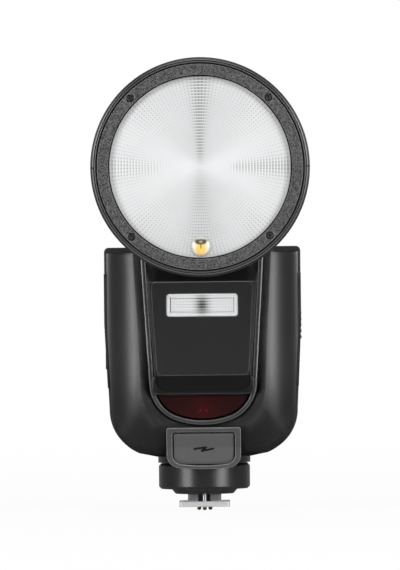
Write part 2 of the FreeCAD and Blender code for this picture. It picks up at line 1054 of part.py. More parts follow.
def head_form():
    # both shells together, before they are split at the head's middle plane
    front = head_front - rim_set_back
    outline = [
        (front, 0),
        (front, head_radius - rim_step),
        (front - rim_step_depth, head_radius - rim_step),
    ]
    outline = outline + head_profile(0) + [(head_neck_from, 0)]
    form = turned_head(outline)
    reach = Vector(cheek_half, 0, 0)
    barrel = rod(cheek_radius, head_axis - reach, head_axis + reach)
    barrel = barrel.makeFillet(cheek_round, barrel.Edges)
    link = pad(neck_section(cheek_half, cheek_radius, cheek_round, neck_end), neck_end)
    form = form.fuse([head_neck(0, neck_end), link, barrel])
    mouth = ring_radius + ring_gap
    inner = head_profile(wall)
    hollow = [(head_front, 0), (head_front, mouth), (inner[0][0], mouth)]
    hollow = hollow + inner + [(inner[-1][0], 0)]
    form = form.cut([turned_head(hollow), head_neck(wall, slot_front + wall)])
    slot = knuckle_half + free_gap
    reach = Vector(slot, 0, 0)
    swing = knuckle_radius + 2 * free_gap
    gap = Vector(2 * slot, slot_front + cheek_radius + wall, 2 * head_radius)
    cutters = [
        rod(swing, head_axis - reach, head_axis + reach),
        Part.makeBox(gap.x, gap.y, gap.z / 2, Vector(-slot, -slot_front, tilt_height - gap.z / 2)),
        Part.makeBox(gap.x, gap.y, gap.z, Vector(-slot, -slot_lean, tilt_height - gap.z / 2)),
    ]
    axle_reach = Vector(axle_half + fit_gap, 0, 0)
    cutters.append(rod(axle_radius + run_gap, head_axis - axle_reach, head_axis + axle_reach))
    return form.cut(cutters)


def ring_screw_places():
    places = []
    for number in range(4):
        turn = math.radians(45 + 90 * number)
        across = ring_screw_circle * math.cos(turn)
        up = tilt_height + ring_screw_circle * math.sin(turn)
        places.append((across, up))
    return places


def head_shell(upper):
    form = head_form()
    bosses = []
    holes = []
    for across, up in ring_screw_places():
        front = Vector(across, ring_reach - head_front + ring_thick + fit_gap, up)
        back = front + Vector(0, ring_screw_length + wall, 0)
        bosses.append(rod(screw_boss_radius, front, back))
        end = back - Vector(0, wall / 2, 0)
        holes.append(rod(ring_screw_shank + run_gap, front - Vector(0, wall, 0), end))
    form = form.fuse(bosses).cut(holes)
    half = 2 * head_radius
    low = tilt_height if upper else tilt_height - half
    keep = box(Vector(-half, -half, low), Vector(half, half, low + half))
    return form.common(keep).removeSplitter()


def front_ring():
    front = head_front
    back = front - ring_thick
    deep = back - ring_reach
    inner = lens_radius + fit_gap
    outline = [
        (front, lens_opening + ring_chamfer / 2),
        (front, ring_radius - ring_chamfer),
        (front - ring_chamfer, ring_radius),
        (deep, ring_radius),
        (deep, inner),
        (back, inner),
        (back, lens_opening),
        (front - ring_chamfer / 2, lens_opening),
    ]
    ring = turned_head(outline)
    lugs = []
    for across, up in carriage_arms():
        start = Vector(across, -deep, up)
        lugs.append(rod(lug_radius, start, start + Vector(0, bearing_thick, 0)))
        outward = Vector(across, 0, up - tilt_height).normalize() * lug_radius
        lugs.append(rod(lug_radius, start + outward, start + outward + Vector(0, bearing_thick, 0)))
    ring = ring.fuse(lugs)
    cutters = []
    for across, up in ring_screw_places():
        face_point = Vector(across, -front, up)
        sink = Vector(0, ring_screw_head_thick, 0)
        cutters.append(rod(ring_screw_head + fit_gap, face_point - Vector(0, 1, 0), face_point + sink))
        cutters.append(rod(ring_screw_shank + run_gap, face_point, face_point + Vector(0, 3 * wall, 0)))
    for number, (across, up) in enumerate(carriage_arms()):
        hole = screw_radius if number == 0 else rod_radius
        behind = Vector(across, -deep + 2 * bearing_thick, up)
        cutters.append(rod(hole + run_gap, Vector(across, -back, up), behind))
    return ring.cut(cutters).removeSplitter()


def ring_screws():
    screws = []
    for across, up in ring_screw_places():
        top = Vector(across, -head_front + run_gap, up)
        head_end = Vector(across, -head_front + ring_screw_head_thick, up)
        tip = head_end + Vector(0, ring_screw_length, 0)
        head = rod(ring_screw_head, top, head_end)
        screw = head.fuse(rod(ring_screw_shank, head_end, tip))
        socket = rod(screw_socket, top, top + Vector(0, ring_screw_head_thick / 2, 0))
        screws.append(screw.cut(socket))
    return Part.makeCompound(screws)


def lamp_centre(forward):
    return Vector(0, -forward, tilt_height - lamp_drop)


def lens():
    # a flat disc whose back face is cut into concentric steps, each a slope and a riser
    front = head_front - ring_thick - fit_gap
    back = front - lens_thick
    pitch = (lens_opening - groove_edge) / groove_count
    outline = [(front, 0), (front, lens_radius), (back, lens_radius)]
    for number in range(groove_count, 0, -1):
        outline.append((back, number * pitch))
        outline.append((back + groove_depth, number * pitch - fit_gap))
    outline.append((back, 0))
    disc = turned_head(outline)
    hole = rod(lamp_radius + fit_gap, lamp_centre(front + 1), lamp_centre(back - 1))
    return disc.cut(hole).removeSplitter()


def lamp_back():
    return head_front - ring_thick - fit_gap - lens_thick - free_gap


def led_dome():
    # a clear dome standing on a short round base
    back = lamp_back()
    front = head_front - ring_chamfer
    base = lamp_centre(back)
    body = rod(lamp_radius, base, lamp_centre(back + lamp_base))
    height = front - back - lamp_base
    bulge = (lamp_radius ** 2 + height ** 2) / (2 * height)
    ball = Part.makeSphere(bulge, lamp_centre(front - bulge))
    keep = rod(lamp_radius, lamp_centre(back + lamp_base), lamp_centre(front + 1))
    dome = body.fuse(ball.common(keep)).removeSplitter()
    return dome.cut(turned_head(lamp_ring_cut()))


def lamp_ring_cut():
    # the dome stops short of the ring that overlaps its lower edge
    front = head_front + 1
    back = head_front - ring_thick - fit_gap
    inner = lens_opening - fit_gap
    return [(front, inner), (front, head_radius), (back, head_radius), (back, inner)]


def led_board():
    back = lamp_back()
    low = Vector(-lamp_board_half, -back, tilt_height - lamp_board_low)
    high = Vector(lamp_board_half, -back + lamp_board_thick, tilt_height - lamp_board_top)
    return box(low, high)


def carriage_arms():
    # the lead screw above the middle, and a guide rod on each side
    return [
        (0, tilt_height + rod_circle),
        (-rod_circle, tilt_height),
        (rod_circle, tilt_height),
    ]


def bulkhead():
    # the ring plate that carries the rods and the motor behind the zoom carriage
    back = bulkhead_from
    front = back + bulkhead_thick
    outer = bulkhead_radius
    inner = barrel_radius + 2 * free_gap
    plate = turned_head([(back, inner), (back, outer), (front, outer), (front, inner)])
    holes = []
    for across, up in carriage_arms()[1:]:
        start = Vector(across, -back + 1, up)
        holes.append(rod(rod_radius + run_gap, start, start - Vector(0, 3 * wall, 0)))
    return plate.cut(holes)


def zoom_motor():
    across, up = carriage_arms()[0]
    back = Vector(across, -bulkhead_from - bulkhead_thick, up)
    front = back - Vector(0, motor_length, 0)
    body = rod(motor_radius, back, front)
    bore = rod(screw_radius + run_gap, front + Vector(0, wall, 0), front - Vector(0, 1, 0))
    return body.cut(bore)


def lead_screw():
    across, up = carriage_arms()[0]
    motor_front = bulkhead_from + bulkhead_thick + motor_length
    start = Vector(across, -motor_front + wall - fit_gap, up)
    tip = Vector(across, -head_front + ring_thick + ring_reach - fit_gap, up)
    return rod(screw_radius, start, tip)


def guide_rods():
    rods = []
    for across, up in carriage_arms()[1:]:
        start = Vector(across, -bulkhead_from, up)
        tip = Vector(across, -head_front + ring_thick + ring_reach - fit_gap, up)
        rods.append(rod(rod_radius, start, tip))
    return Part.makeCompound(rods)


def zoom_carriage():
    inner = reflector_mouth + reflector_wall / 2
    front = barrel_front
    back = reflector_front - wall
    barrel = turned_head(
        [(back, inner), (back, barrel_radius), (front, barrel_radius), (front, inner)]
    )
    lugs = []
    holes = []
    for number, (across, up) in enumerate(carriage_arms()):
        out = Vector(across, 0, up - tilt_height)
        out.normalize()
        start = Vector(across, -front, up)
        end = start + Vector(0, lug_thick, 0)
        lugs.append(rod(lug_radius, start, end))
        side = Vector(0, 1, 0).cross(out) * lug_radius
        foot = out * (inner + reflector_wall / 2) + Vector(0, -front, tilt_height)
        reach = out * (rod_circle - inner - reflector_wall / 2)
        corners = [foot - side, foot + side, foot + side + reach, foot - side + reach]
        arm = Part.Face(Part.makePolygon(corners + [corners[0]])).extrude(Vector(0, lug_thick, 0))
        lugs.append(arm)
        hole = (screw_radius if number == 0 else rod_radius) + run_gap
        holes.append(rod(hole, start - Vector(0, 1, 0), end + Vector(0, 1, 0)))
    return barrel.fuse(lugs).cut(holes).removeSplitter()


def reflector_radius(forward):
    share = (forward - reflector_back) / (reflector_front - reflector_back)
    squared = reflector_throat ** 2 + (reflector_mouth ** 2 - reflector_throat ** 2) * share
    return math.sqrt(squared)


def reflector():
    # a bowl whose radius grows with the square root of its depth, with a slot each side
    steps = 4
    depth = (reflector_front - reflector_back) / steps
    bowl = []
    for number in range(steps + 1):
        forward = reflector_back + number * depth
        bowl.append((forward, reflector_radius(forward)))
    thin = [(forward, radius - reflector_wall) for forward, radius in reversed(bowl)]
    floor = reflector_back + reflector_wall
    outline = [(reflector_back, 0)] + bowl + thin[:-1]
    shell = turned_head(outline + [(floor, thin[-1][1]), (floor, 0)])
    centre = head_axis - Vector(0, reflector_back + tube_from_back, 0)
    reach = Vector(reflector_mouth, 0, 0)
    return shell.cut(rod(tube_radius + fit_gap, centre - reach, centre + reach))


def flash_tube():
    centre = head_axis - Vector(0, reflector_back + tube_from_back, 0)
    reach = Vector(tube_half, 0, 0)
    neck = Vector(wall, 0, 0)
    tube = rod(tube_radius, centre - reach, centre + reach)
    for side in (-1, 1):
        tip = centre + reach * side
        tube = tube.fuse(rod(tube_radius / 2, tip, tip + neck * side))
    return tube


def sub_outline(half, low, high, corner, depth):
    return rounded(half, body_bottom + low, body_bottom + high, corner, in_front(-depth))


def tapered_outline(low_half, high_half, low, high, corner, depth):
    # narrower at the bottom, to follow the recess that the sub-flash sits in
    bottom = body_bottom + low
    top = body_bottom + high
    points = [
        (0, bottom),
        (low_half - corner, bottom),
        (on_arc((low_half - corner, bottom + corner), corner, -45), (low_half, bottom + corner)),
        (high_half, top - corner),
        (on_arc((high_half - corner, top - corner), corner, 45), (high_half - corner, top)),
        (0, top),
    ]
    return mirrored_wire(points, in_front(-depth))


def sub_case():
    # a raised face on sloping sides, a plug behind it, and the window's opening
    base = [sub_low_half, sub_top_half, sub_low, sub_high, sub_corner]
    base_back = tapered_outline(*base, recess_floor + free_gap)
    base_front = tapered_outline(*base, sub_base_depth)
    top = [sub_face_low_half, sub_face_half, sub_face_low, sub_face_high, sub_face_corner]
    face_wire = tapered_outline(*top, sub_face_depth)
    block = loft(base_back, base_front).fuse(loft(base_front, face_wire))
    plug = box(
        Vector(-plug_half, -recess_floor - wall, body_bottom + plug_low),
        Vector(plug_half, -recess_floor + plug_depth, body_bottom + plug_high),
    )
    block = block.fuse(plug)
    hollow = box(
        Vector(-plug_half + wall, -sub_face_depth + 2 * wall, body_bottom + plug_low + wall),
        Vector(plug_half - wall, -recess_floor + plug_depth + 1, body_bottom + plug_high - wall),
    )
    low = window_low - fit_gap
    high = window_high + fit_gap
    wire = sub_outline(window_half + fit_gap, low, high, window_round, sub_face_depth + 1)
    opening = pad(wire, wall * 3)
    return block.cut([hollow, opening]).removeSplitter()


def sub_back():
    inset = wall + fit_gap
    half = plug_half - inset
    back = plug_depth - recess_floor
    return box(
        Vector(-half, back - wall, body_bottom + plug_low + inset),
        Vector(half, back, body_bottom + plug_high - inset),
    )


def sub_window():
    front = sub_face_depth - window_set_back
    wire = sub_outline(window_half, window_low, window_high, window_round, front)
    return pad(wire, window_thick)


def trough_centre():
    front = sub_face_depth - window_set_back - window_thick - fit_gap
    return Vector(0, -front, body_bottom + (window_low + window_high) / 2)


def sub_reflector():
    front = trough_centre()
    half = trough_half_high + reflector_wall
    back = front.y + trough_depth
    points = [
        (front.y, front.z - half),
        ((back, front.z), (front.y, front.z + half)),
    ]
    inner = [
        (front.y, front.z - trough_half_high),
        ((back - reflector_wall, front.z), (front.y, front.z + trough_half_high)),
    ]
    block = face(points, from_side(-trough_half)).extrude(Vector(2 * trough_half, 0, 0))
    length = 2 * (trough_half - reflector_wall)
    hollow = face(inner, from_side(-trough_half + reflector_wall)).extrude(Vector(length, 0, 0))
    centre = front + Vector(0, trough_depth / 2, 0)
    reach = Vector(trough_half + 1, 0, 0)
    return block.cut([hollow, rod(small_tube_radius + fit_gap, centre - reach, centre + reach)])


def sub_tube():
    centre = trough_centre() + Vector(0, trough_depth / 2, 0)
    reach = Vector(trough_half + fit_gap, 0, 0)
    return rod(small_tube_radius, centre - reach, centre + reach)


def battery_middle():
    return body_bottom + (side_low + side_high) / 2


def battery_box(grow, left, right):
    middle = battery_middle()
    return box(
        Vector(left, battery_front - grow, middle - battery_half_high - grow),
        Vector(right, battery_back + grow, middle + battery_half_high + grow),
    )


def battery_sleeve():
    end = battery_left - contact_room
    outer = battery_box(free_gap + sleeve_wall, end - sleeve_wall, battery_cap_from)
    inner = battery_box(free_gap, end, body_half)
    return outer.cut(inner)


def battery_case():
    return battery_box(0, battery_left, battery_cap_from)


def side_skin(side, low, high, inner_x):
    # the part of the body's own side surface that fills a side opening
    plan = rear_plan(0).fuse(front_plan(-front_narrower))
    form = body_form(0, 0, 0, plan)
    keep = box(Vector(inner_x, -body_half, low), Vector(body_half + 1, body_half, high))
    if side < 0:
        keep = mirrored_x(keep)
    return form.common(side_slot(0, side, 4 * wall)).common(keep)


def battery_cap():
    low = body_bottom + side_low
    high = body_bottom + side_high
    skin = side_skin(1, low, high, port_wall_half)
    plate = battery_box(0, battery_cap_from, port_wall_half)
    cap = skin.fuse(plate)
    start = battery_cap_from + release_travel + wall / 2
    return cap.cut(release_box(start, body_half + 1, fit_gap)).removeSplitter()


def release_box(left, right, grow):
    half = release_width / 2 + grow
    rise = release_height / 2 + grow
    middle = battery_middle() + release_lift
    return box(
        Vector(left, release_back - half, middle - rise),
        Vector(right, release_back + half, middle + rise),
    )


def battery_release():
    start = battery_cap_from + 2 * release_travel + wall / 2
    return release_box(start, body_half, 0)


def port_cover(low, high):
    # a soft skin with a pin at its front edge, which it swings about
    skin = side_skin(-1, low, high, body_half - cover_skin)
    pin = cover_hinge()
    bottom = Vector(pin.x, pin.y, low)
    round_edge = rod(cover_skin / 2, bottom, Vector(pin.x, pin.y, high))
    rest = box(Vector(-body_half - 1, pin.y, low), Vector(0, body_half, high))
    return skin.common(round_edge.fuse(rest))


def cover_hinge():
    return Vector(-body_half + cover_skin / 2, side_front + cover_skin / 2, 0)


def port_face():
    return -body_half + cover_skin + fit_gap


def jack_place():
    high = body_bottom + side_high
    middle = body_bottom + cover_split
    return Vector(port_face(), (side_front + side_back) / 2, (middle + high) / 2)


def usb_place():
    low = body_bottom + side_low
    middle = body_bottom + cover_split
    return Vector(port_face(), (side_front + side_back) / 2, (low + middle) / 2)


def usb_block(grow, length):
    centre = usb_place()
    size = Vector(0, usb_height / 2 + grow, usb_width / 2 + grow)
    return box(centre - size, centre + size + Vector(length, 0, 0))


def port_panel():
    zone = box(
        Vector(port_face(), -body_half, 0), Vector(port_face() + wall, body_half, body_top)
    )
    plate = side_slot(-fit_gap, -1, 4 * wall).common(zone)
    jack = jack_place()
    hole = rod(jack_body_radius + fit_gap, jack - Vector(1, 0, 0), jack + Vector(3 * wall, 0, 0))
    return plate.cut([hole, usb_block(usb_wall + fit_gap, 3 * wall)])


def sync_jack():
    start = jack_place()
    body = rod(jack_body_radius, start, start + Vector(jack_length, 0, 0))
    bore = rod(jack_radius, start - Vector(1, 0, 0), start + Vector(jack_length - wall, 0, 0))
    return body.cut(bore)


def usb_socket():
    shell = usb_block(usb_wall, usb_length).cut(usb_block(0, usb_length - usb_wall))
    centre = usb_place()
    tongue_half = Vector(0, usb_tongue / 2, usb_width / 2 - 2 * usb_wall)
    tip = centre + Vector(1, 0, 0)
    tongue = box(tip - tongue_half, centre + Vector(usb_length, 0, 0) + tongue_half)
    return shell.fuse(tongue).removeSplitter()


def display_window():
    wire = rounded(
        display_half,
        body_bottom + display_low,
        body_bottom + display_high,
        key_round,
        in_front(rear_depth - display_set_back - display_glass),
    )
    return pad(wire, display_glass)


def display_module():
    back = rear_depth - display_set_back - display_glass - fit_gap
    wire = rounded(
        display_half,
        body_bottom + display_low,
        body_bottom + display_high,
        key_round,
        in_front(back - display_module_thick),
    )
    return pad(wire, display_module_thick)


def main_board():
    return box(
        Vector(-board_half, board_back, body_bottom + board_low),
        Vector(board_half, board_back + board_thick, body_bottom + board_high),
    )


def main_capacitor():
    centre = Vector(0, 0, body_bottom + capacitor_height)
    reach = Vector(capacitor_half, 0, 0)
    can = rod(capacitor_radius, centre - reach, centre + reach)
    return can.makeChamfer(capacitor_edge, can.Edges)


def function_key(across, height):
    inner = rear_depth - wall - fit_gap
    cap = pad(key_wire(across, height, 0, inner), rear_depth + key_proud - inner)
    flange = pad(key_wire(across, height, key_flange, inner - key_flange_thick), key_flange_thick)
    return cap.fuse(flange).removeSplitter()


def round_key(across, height):
    inner = rear_depth - wall - fit_gap
    start = Vector(across, inner, height)
    cap = rod(round_key_radius, start, start + Vector(0, rear_depth + key_proud - inner, 0))
    flange = rod(round_key_radius + key_flange, start - Vector(0, key_flange_thick, 0), start)
    return cap.fuse(flange).removeSplitter()


def dial_centre(y):
    return Vector(0, y, body_bottom + dial_height)


def dial_ring():
    start = rear_depth - 1 + run_gap
    end = rear_depth + dial_proud
    ring = rod(dial_radius, dial_centre(start), dial_centre(end))
    ring = ring.cut(rod(dial_bore, dial_centre(start - 1), dial_centre(end + 1)))
    notches = []
    for number in range(dial_notches):
        turn = 2 * math.pi * number / dial_notches
        side = Vector(math.cos(turn), 0, math.sin(turn)) * dial_radius
        inner = dial_centre(rear_depth + fit_gap) + side
        notches.append(rod(dial_notch_radius, inner, dial_centre(end + 1) + side))
    return ring.cut(notches)


def set_button():
    inner = rear_depth - wall - fit_gap
    cap = rod(set_radius, dial_centre(inner), dial_centre(rear_depth + set_proud))
    flange = rod(
        set_radius + key_flange, dial_centre(inner - key_flange_thick), dial_centre(inner)
    )
    return cap.fuse(flange).removeSplitter()


def power_switch():
    # drawn at its off end, from where it slides right
    left = -switch_out - (switch_width + switch_travel) / 2
    low = body_bottom + switch_up - switch_height / 2
    start = Vector(left, rear_depth - 1 + run_gap, low)
    knob = box(start, start + Vector(switch_width, 1 + key_proud, switch_height))
    return knob


def body_screws():
    screws = []
    for side in (-1, 1):
        end = Vector(side * body_screw_x, rear_depth, body_bottom + body_screw_z)
        base = end - Vector(0, 2 * wall, 0)
        head = rod(body_screw_radius, base, base + Vector(0, body_screw_head, 0))
        screws.append(head.cut(rod(screw_socket, base + Vector(0, body_screw_head / 2, 0), end)))
    return Part.makeCompound(screws)


os.makedirs("parts", exist_ok=True)

write("rear_shell", rear_shell())
write("front_shell", front_shell())
write("bottom_plate", bottom_plate())
write("bezel_trim", bezel_trim())
write("assist_window", assist_window())
write("assist_lamp", assist_lamp())
write("neck_frame", neck_frame())
write("neck_cover", neck_cover())
write("foot_base", foot_base())
write("foot_flange", foot_flange())
write("foot_plate", foot_plate())
write("foot_insert", foot_insert())
write("contact_pins", contact_pins())
write("lock_collar", lock_collar())
write("lock_pin", lock_pin())

write("turret", turret())
write("tilt_axle", tilt_axle())
write("head_upper_shell", head_shell(True))
write("head_lower_shell", head_shell(False))
write("front_ring", front_ring())
write("ring_screws", ring_screws())
write("fresnel_lens", lens())
write("led_dome", led_dome())
write("led_board", led_board())
write("zoom_bulkhead", bulkhead())
write("zoom_motor", zoom_motor())
write("lead_screw", lead_screw())
write("guide_rods", guide_rods())
write("zoom_carriage", zoom_carriage())
write("reflector", reflector())
write("flash_tube", flash_tube())

write("sub_flash_case", sub_case())
write("sub_flash_back", sub_back())
write("sub_flash_window", sub_window())
write("sub_flash_reflector", sub_reflector())
write("sub_flash_tube", sub_tube())

write("battery_sleeve", battery_sleeve())
write("battery_case", battery_case())
write("battery_cap", battery_cap())
write("battery_release", battery_release())

split = body_bottom + cover_split
write("sync_cover", port_cover(split + fit_gap / 2, body_bottom + side_high))
write("usb_cover", port_cover(body_bottom + side_low, split - fit_gap / 2))
write("port_panel", port_panel())
write("sync_jack", sync_jack())
write("usb_socket", usb_socket())

write("display_window", display_window())
write("display_module", display_module())
write("main_board", main_board())
write("main_capacitor", main_capacitor())
for name, across, height in key_places():
    write(name, function_key(across, height))
for name, across, height in round_keys():
    write(name, round_key(across, height))
write("dial_ring", dial_ring())
write("set_button", set_button())
write("power_switch", power_switch())
write("body_screws", body_screws())
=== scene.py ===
import bpy
import bmesh
import math
from mathutils import Matrix, Vector


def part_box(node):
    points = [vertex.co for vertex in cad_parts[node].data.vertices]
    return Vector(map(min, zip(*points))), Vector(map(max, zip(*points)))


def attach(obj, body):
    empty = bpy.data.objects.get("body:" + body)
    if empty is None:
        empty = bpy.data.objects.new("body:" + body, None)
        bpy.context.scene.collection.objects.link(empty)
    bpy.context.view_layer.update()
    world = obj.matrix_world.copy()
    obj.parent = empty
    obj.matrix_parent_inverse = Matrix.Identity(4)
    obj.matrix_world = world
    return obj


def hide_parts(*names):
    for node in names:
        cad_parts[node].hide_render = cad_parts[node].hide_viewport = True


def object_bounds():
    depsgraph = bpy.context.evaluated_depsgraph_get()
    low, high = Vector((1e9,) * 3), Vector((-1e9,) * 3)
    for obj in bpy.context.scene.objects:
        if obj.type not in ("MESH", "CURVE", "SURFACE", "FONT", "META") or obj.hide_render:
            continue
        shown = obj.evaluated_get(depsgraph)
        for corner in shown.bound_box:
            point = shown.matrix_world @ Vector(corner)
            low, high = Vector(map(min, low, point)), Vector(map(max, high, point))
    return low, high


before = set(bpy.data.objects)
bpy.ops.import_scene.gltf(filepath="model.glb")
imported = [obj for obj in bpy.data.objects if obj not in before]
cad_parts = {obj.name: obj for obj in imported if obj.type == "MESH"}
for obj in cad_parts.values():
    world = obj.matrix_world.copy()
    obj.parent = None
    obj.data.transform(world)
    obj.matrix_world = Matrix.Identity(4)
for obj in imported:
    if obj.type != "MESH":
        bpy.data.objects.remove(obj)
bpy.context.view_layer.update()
bpy.ops.object.select_all(action="DESELECT")


# Camera: a long lens straight in front, turned and rolled by a fraction of a degree.
# One pixel of the 400 x 570 frame is 0.369 mm at the hot-shoe foot.
pixel = 0.000369
camera_distance = 2.5
camera_azimuth = math.radians(0.4)
camera_roll = math.radians(-0.6)
frame_height = 570
sensor = 36.0
foot_pixel = (204.8, 506.0)
middle_pixel = (200.0, 285.0)

camera_data = bpy.data.cameras.new("camera")
camera_data.sensor_width = sensor
camera_data.lens = sensor * camera_distance / (frame_height * pixel)
camera_data.clip_start = 0.1
camera_data.clip_end = 50
camera = bpy.data.objects.new("camera", camera_data)
bpy.context.scene.collection.objects.link(camera)
bpy.context.scene.camera = camera
back = Vector((math.sin(camera_azimuth), -math.cos(camera_azimuth), 0))
view_turn = (-back).to_track_quat("-Z", "Y").to_matrix().to_4x4()
view_turn = view_turn @ Matrix.Rotation(camera_roll, 4, "Z")
across = (middle_pixel[0] - foot_pixel[0]) * pixel
up = (foot_pixel[1] - middle_pixel[1]) * pixel
aim = view_turn @ Vector((across, up, 0))
camera.matrix_world = Matrix.Translation(aim + back * camera_distance) @ view_turn


# Studio: a pale floor and backdrop, one broad soft lamp in front above, a strip on each side
# that draws the long highlights down the flanks, and an even pale surrounding light.
floor_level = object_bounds()[0].z
studio_white = (1.0, 1.0, 1.0, 1)
floor_white = (0.9, 0.9, 0.9, 1)
room_dim = 0.06
room_light = 0.2
room_front, room_back = 0.6, 1.0
floor_dim = 0.6
fade_start, fade_end, fade_share = 0.1, 1.2, 0.94


class Wires:
    # the wiring of one material or pattern: each call adds a node and gives what comes out of it
    def __init__(self, tree):
        self.nodes = tree.nodes
        self.links = tree.links

    def feed(self, value, socket):
        # an output is linked to the socket, and a number or a colour is set on it
        if isinstance(value, bpy.types.NodeSocket):
            self.links.new(value, socket)
        else:
            socket.default_value = value

    def add(self, kind, inputs=None, **settings):
        node = self.nodes.new(kind)
        for setting, value in settings.items():
            setattr(node, setting, value)
        for socket, value in (inputs or {}).items():
            self.feed(value, node.inputs[socket])
        return node.outputs

    def do(self, operation, first, second=None):
        inputs = {0: first} if second is None else {0: first, 1: second}
        return self.add("ShaderNodeMath", inputs, operation=operation)[0]

    def ramp(self, value, start, end, low=0.0, high=1.0, curve="LINEAR"):
        # goes from low to high while the value goes from start to end
        inputs = {
            "Value": value, "From Min": start, "From Max": end, "To Min": low, "To Max": high,
        }
        return self.add("ShaderNodeMapRange", inputs, interpolation_type=curve)["Result"]

    def blend(self, share, under, over, **settings):
        inputs = {"Factor": share, "A": under, "B": over}
        return self.add("ShaderNodeMix", inputs, data_type="RGBA", **settings)["Result"]

    def place(self):
        # where a point lies on its piece: across, in depth and in height
        spot = self.add("ShaderNodeTexCoord")["Object"]
        split = self.add("ShaderNodeSeparateXYZ", {0: spot})
        return split["X"], split["Y"], split["Z"]

    def far(self, wide, tall):
        # how far a point lies from the middle
        do = self.do
        return do("SQRT", do("ADD", do("MULTIPLY", wide, wide), do("MULTIPLY", tall, tall)))

    def fall(self, value):
        # falls off from 1 as the value sinks below zero
        return self.do("POWER", 2.718, value)


world = bpy.data.worlds.new("studio")
bpy.context.scene.world = world
world.use_nodes = True
world.node_tree.nodes.clear()
wires = Wires(world.node_tree)
rays = wires.add("ShaderNodeLightPath")
seen = wires.do("MAXIMUM", rays["Is Camera Ray"], rays["Is Transmission Ray"])
seen_too = wires.do("MAXIMUM", seen, rays["Is Glossy Ray"])
direction = wires.add("ShaderNodeTexCoord")["Generated"]
toward_back = wires.add("ShaderNodeSeparateXYZ", {0: direction})["Y"]
room = wires.ramp(toward_back, room_front, room_back, room_dim)
level = wires.do("MAXIMUM", seen, room)
pale = wires.add("ShaderNodeBackground", {"Color": studio_white, "Strength": level})[0]
soft = wires.add("ShaderNodeBackground", {"Color": studio_white, "Strength": room_light})[0]
around = wires.add("ShaderNodeMixShader", {"Fac": seen_too, 1: soft, 2: pale})[0]
wires.add("ShaderNodeOutputWorld", {"Surface": around})

bpy.ops.mesh.primitive_plane_add(size=40, location=(0, 0, floor_level))
floor = bpy.context.active_object
floor.name = "floor"
floor_paint = bpy.data.materials.new("floor_white")
floor.data.materials.append(floor_paint)
floor_paint.use_nodes = True
floor_paint.node_tree.nodes.clear()
wires = Wires(floor_paint.node_tree)
rays = wires.add("ShaderNodeLightPath")
spot = wires.add("ShaderNodeTexCoord")["Object"]
reach = wires.add("ShaderNodeVectorMath", {0: spot}, operation="LENGTH")["Value"]
fade = wires.ramp(reach, fade_start, fade_end, fade_share)
share = wires.do("MULTIPLY", rays["Is Camera Ray"], fade)
matt = wires.add("ShaderNodeBsdfDiffuse", {"Color": floor_white})[0]
glow = wires.add("ShaderNodeEmission", {"Color": studio_white})[0]
lit = wires.add("ShaderNodeMixShader", {"Fac": share, 1: matt, 2: glow})[0]
dimmed = wires.do("MULTIPLY", rays["Is Glossy Ray"], floor_dim)
dark = wires.add("ShaderNodeEmission", {"Strength": 0.0})[0]
reflected = wires.add("ShaderNodeMixShader", {"Fac": dimmed, 1: lit, 2: dark})[0]
wires.add("ShaderNodeOutputMaterial", {"Surface": reflected})


def softbox(name, place, width, height, watts):
    data = bpy.data.lights.new(name, "AREA")
    data.shape = "RECTANGLE"
    data.size = width
    data.size_y = height
    data.energy = watts
    lamp = bpy.data.objects.new(name, data)
    bpy.context.scene.collection.objects.link(lamp)
    lamp.location = place
    lamp.rotation_mode = "QUATERNION"
    lamp.rotation_quaternion = (object_middle - Vector(place)).to_track_quat("-Z", "Y")


object_middle = Vector((0, 0, 0.085))
softbox("left_box", (-1.0, -1.0, 0.3), 0.6, 1.0, 13)
softbox("right_box", (1.0, -1.0, 0.3), 0.6, 1.0, 14)
softbox("top_box", (0.0, -0.95, 1.15), 0.9, 0.4, 6)
softbox("back_box", (0.0, 1.2, 0.9), 1.0, 0.7, 6)

bpy.context.scene.view_settings.view_transform = "Standard"


# Body shells: front and rear halves moulded in black plastic, 72 mm wide and 75 mm high, with a
# fine pebbled surface. Four small black screws on the back hold them together.
pebble_low, pebble_high = 0.35, 0.7
handling_scale = 60.0
gloss_wander = 0.05


def moulded_grain():
    # paler tops on the pebbles, and a gloss that wanders as handling leaves it
    group = bpy.data.node_groups.get("moulded_grain")
    if group:
        return group
    group = bpy.data.node_groups.new("moulded_grain", "ShaderNodeTree")
    for name, way, kind in (
        ("Colour", "INPUT", "NodeSocketColor"), ("Grain Size", "INPUT", "NodeSocketFloat"),
        ("Speckle", "INPUT", "NodeSocketFloat"), ("Gloss", "INPUT", "NodeSocketFloat"),
        ("Colour", "OUTPUT", "NodeSocketColor"), ("Roughness", "OUTPUT", "NodeSocketFloat"),
        ("Height", "OUTPUT", "NodeSocketFloat"),
    ):
        group.interface.new_socket(name=name, in_out=way, socket_type=kind)
    wires = Wires(group)
    given = wires.add("NodeGroupInput")
    spot = wires.add("ShaderNodeTexCoord")["Object"]
    pebbles = wires.add("ShaderNodeTexNoise", {
        "Vector": spot, "Scale": given["Grain Size"], "Detail": 2.0, "Roughness": 0.6,
    })["Fac"]
    handling = wires.add("ShaderNodeTexNoise", {
        "Vector": spot, "Scale": handling_scale, "Detail": 4.0,
    })["Fac"]
    lift = wires.ramp(pebbles, pebble_low, pebble_high, 0.0, given["Speckle"])
    paler = wires.blend(1.0, given["Colour"], lift, blend_type="ADD")
    wander = wires.ramp(handling, 0.3, 0.7, -gloss_wander, gloss_wander)
    gloss = wires.do("ADD", wander, given["Gloss"])
    wires.add("NodeGroupOutput", {"Colour": paler, "Roughness": gloss, "Height": pebbles})
    return group


def opened(material):
    # a material's wiring and the sockets of its shader, for work on its finish
    return Wires(material.node_tree), material.node_tree.nodes["Principled BSDF"].inputs


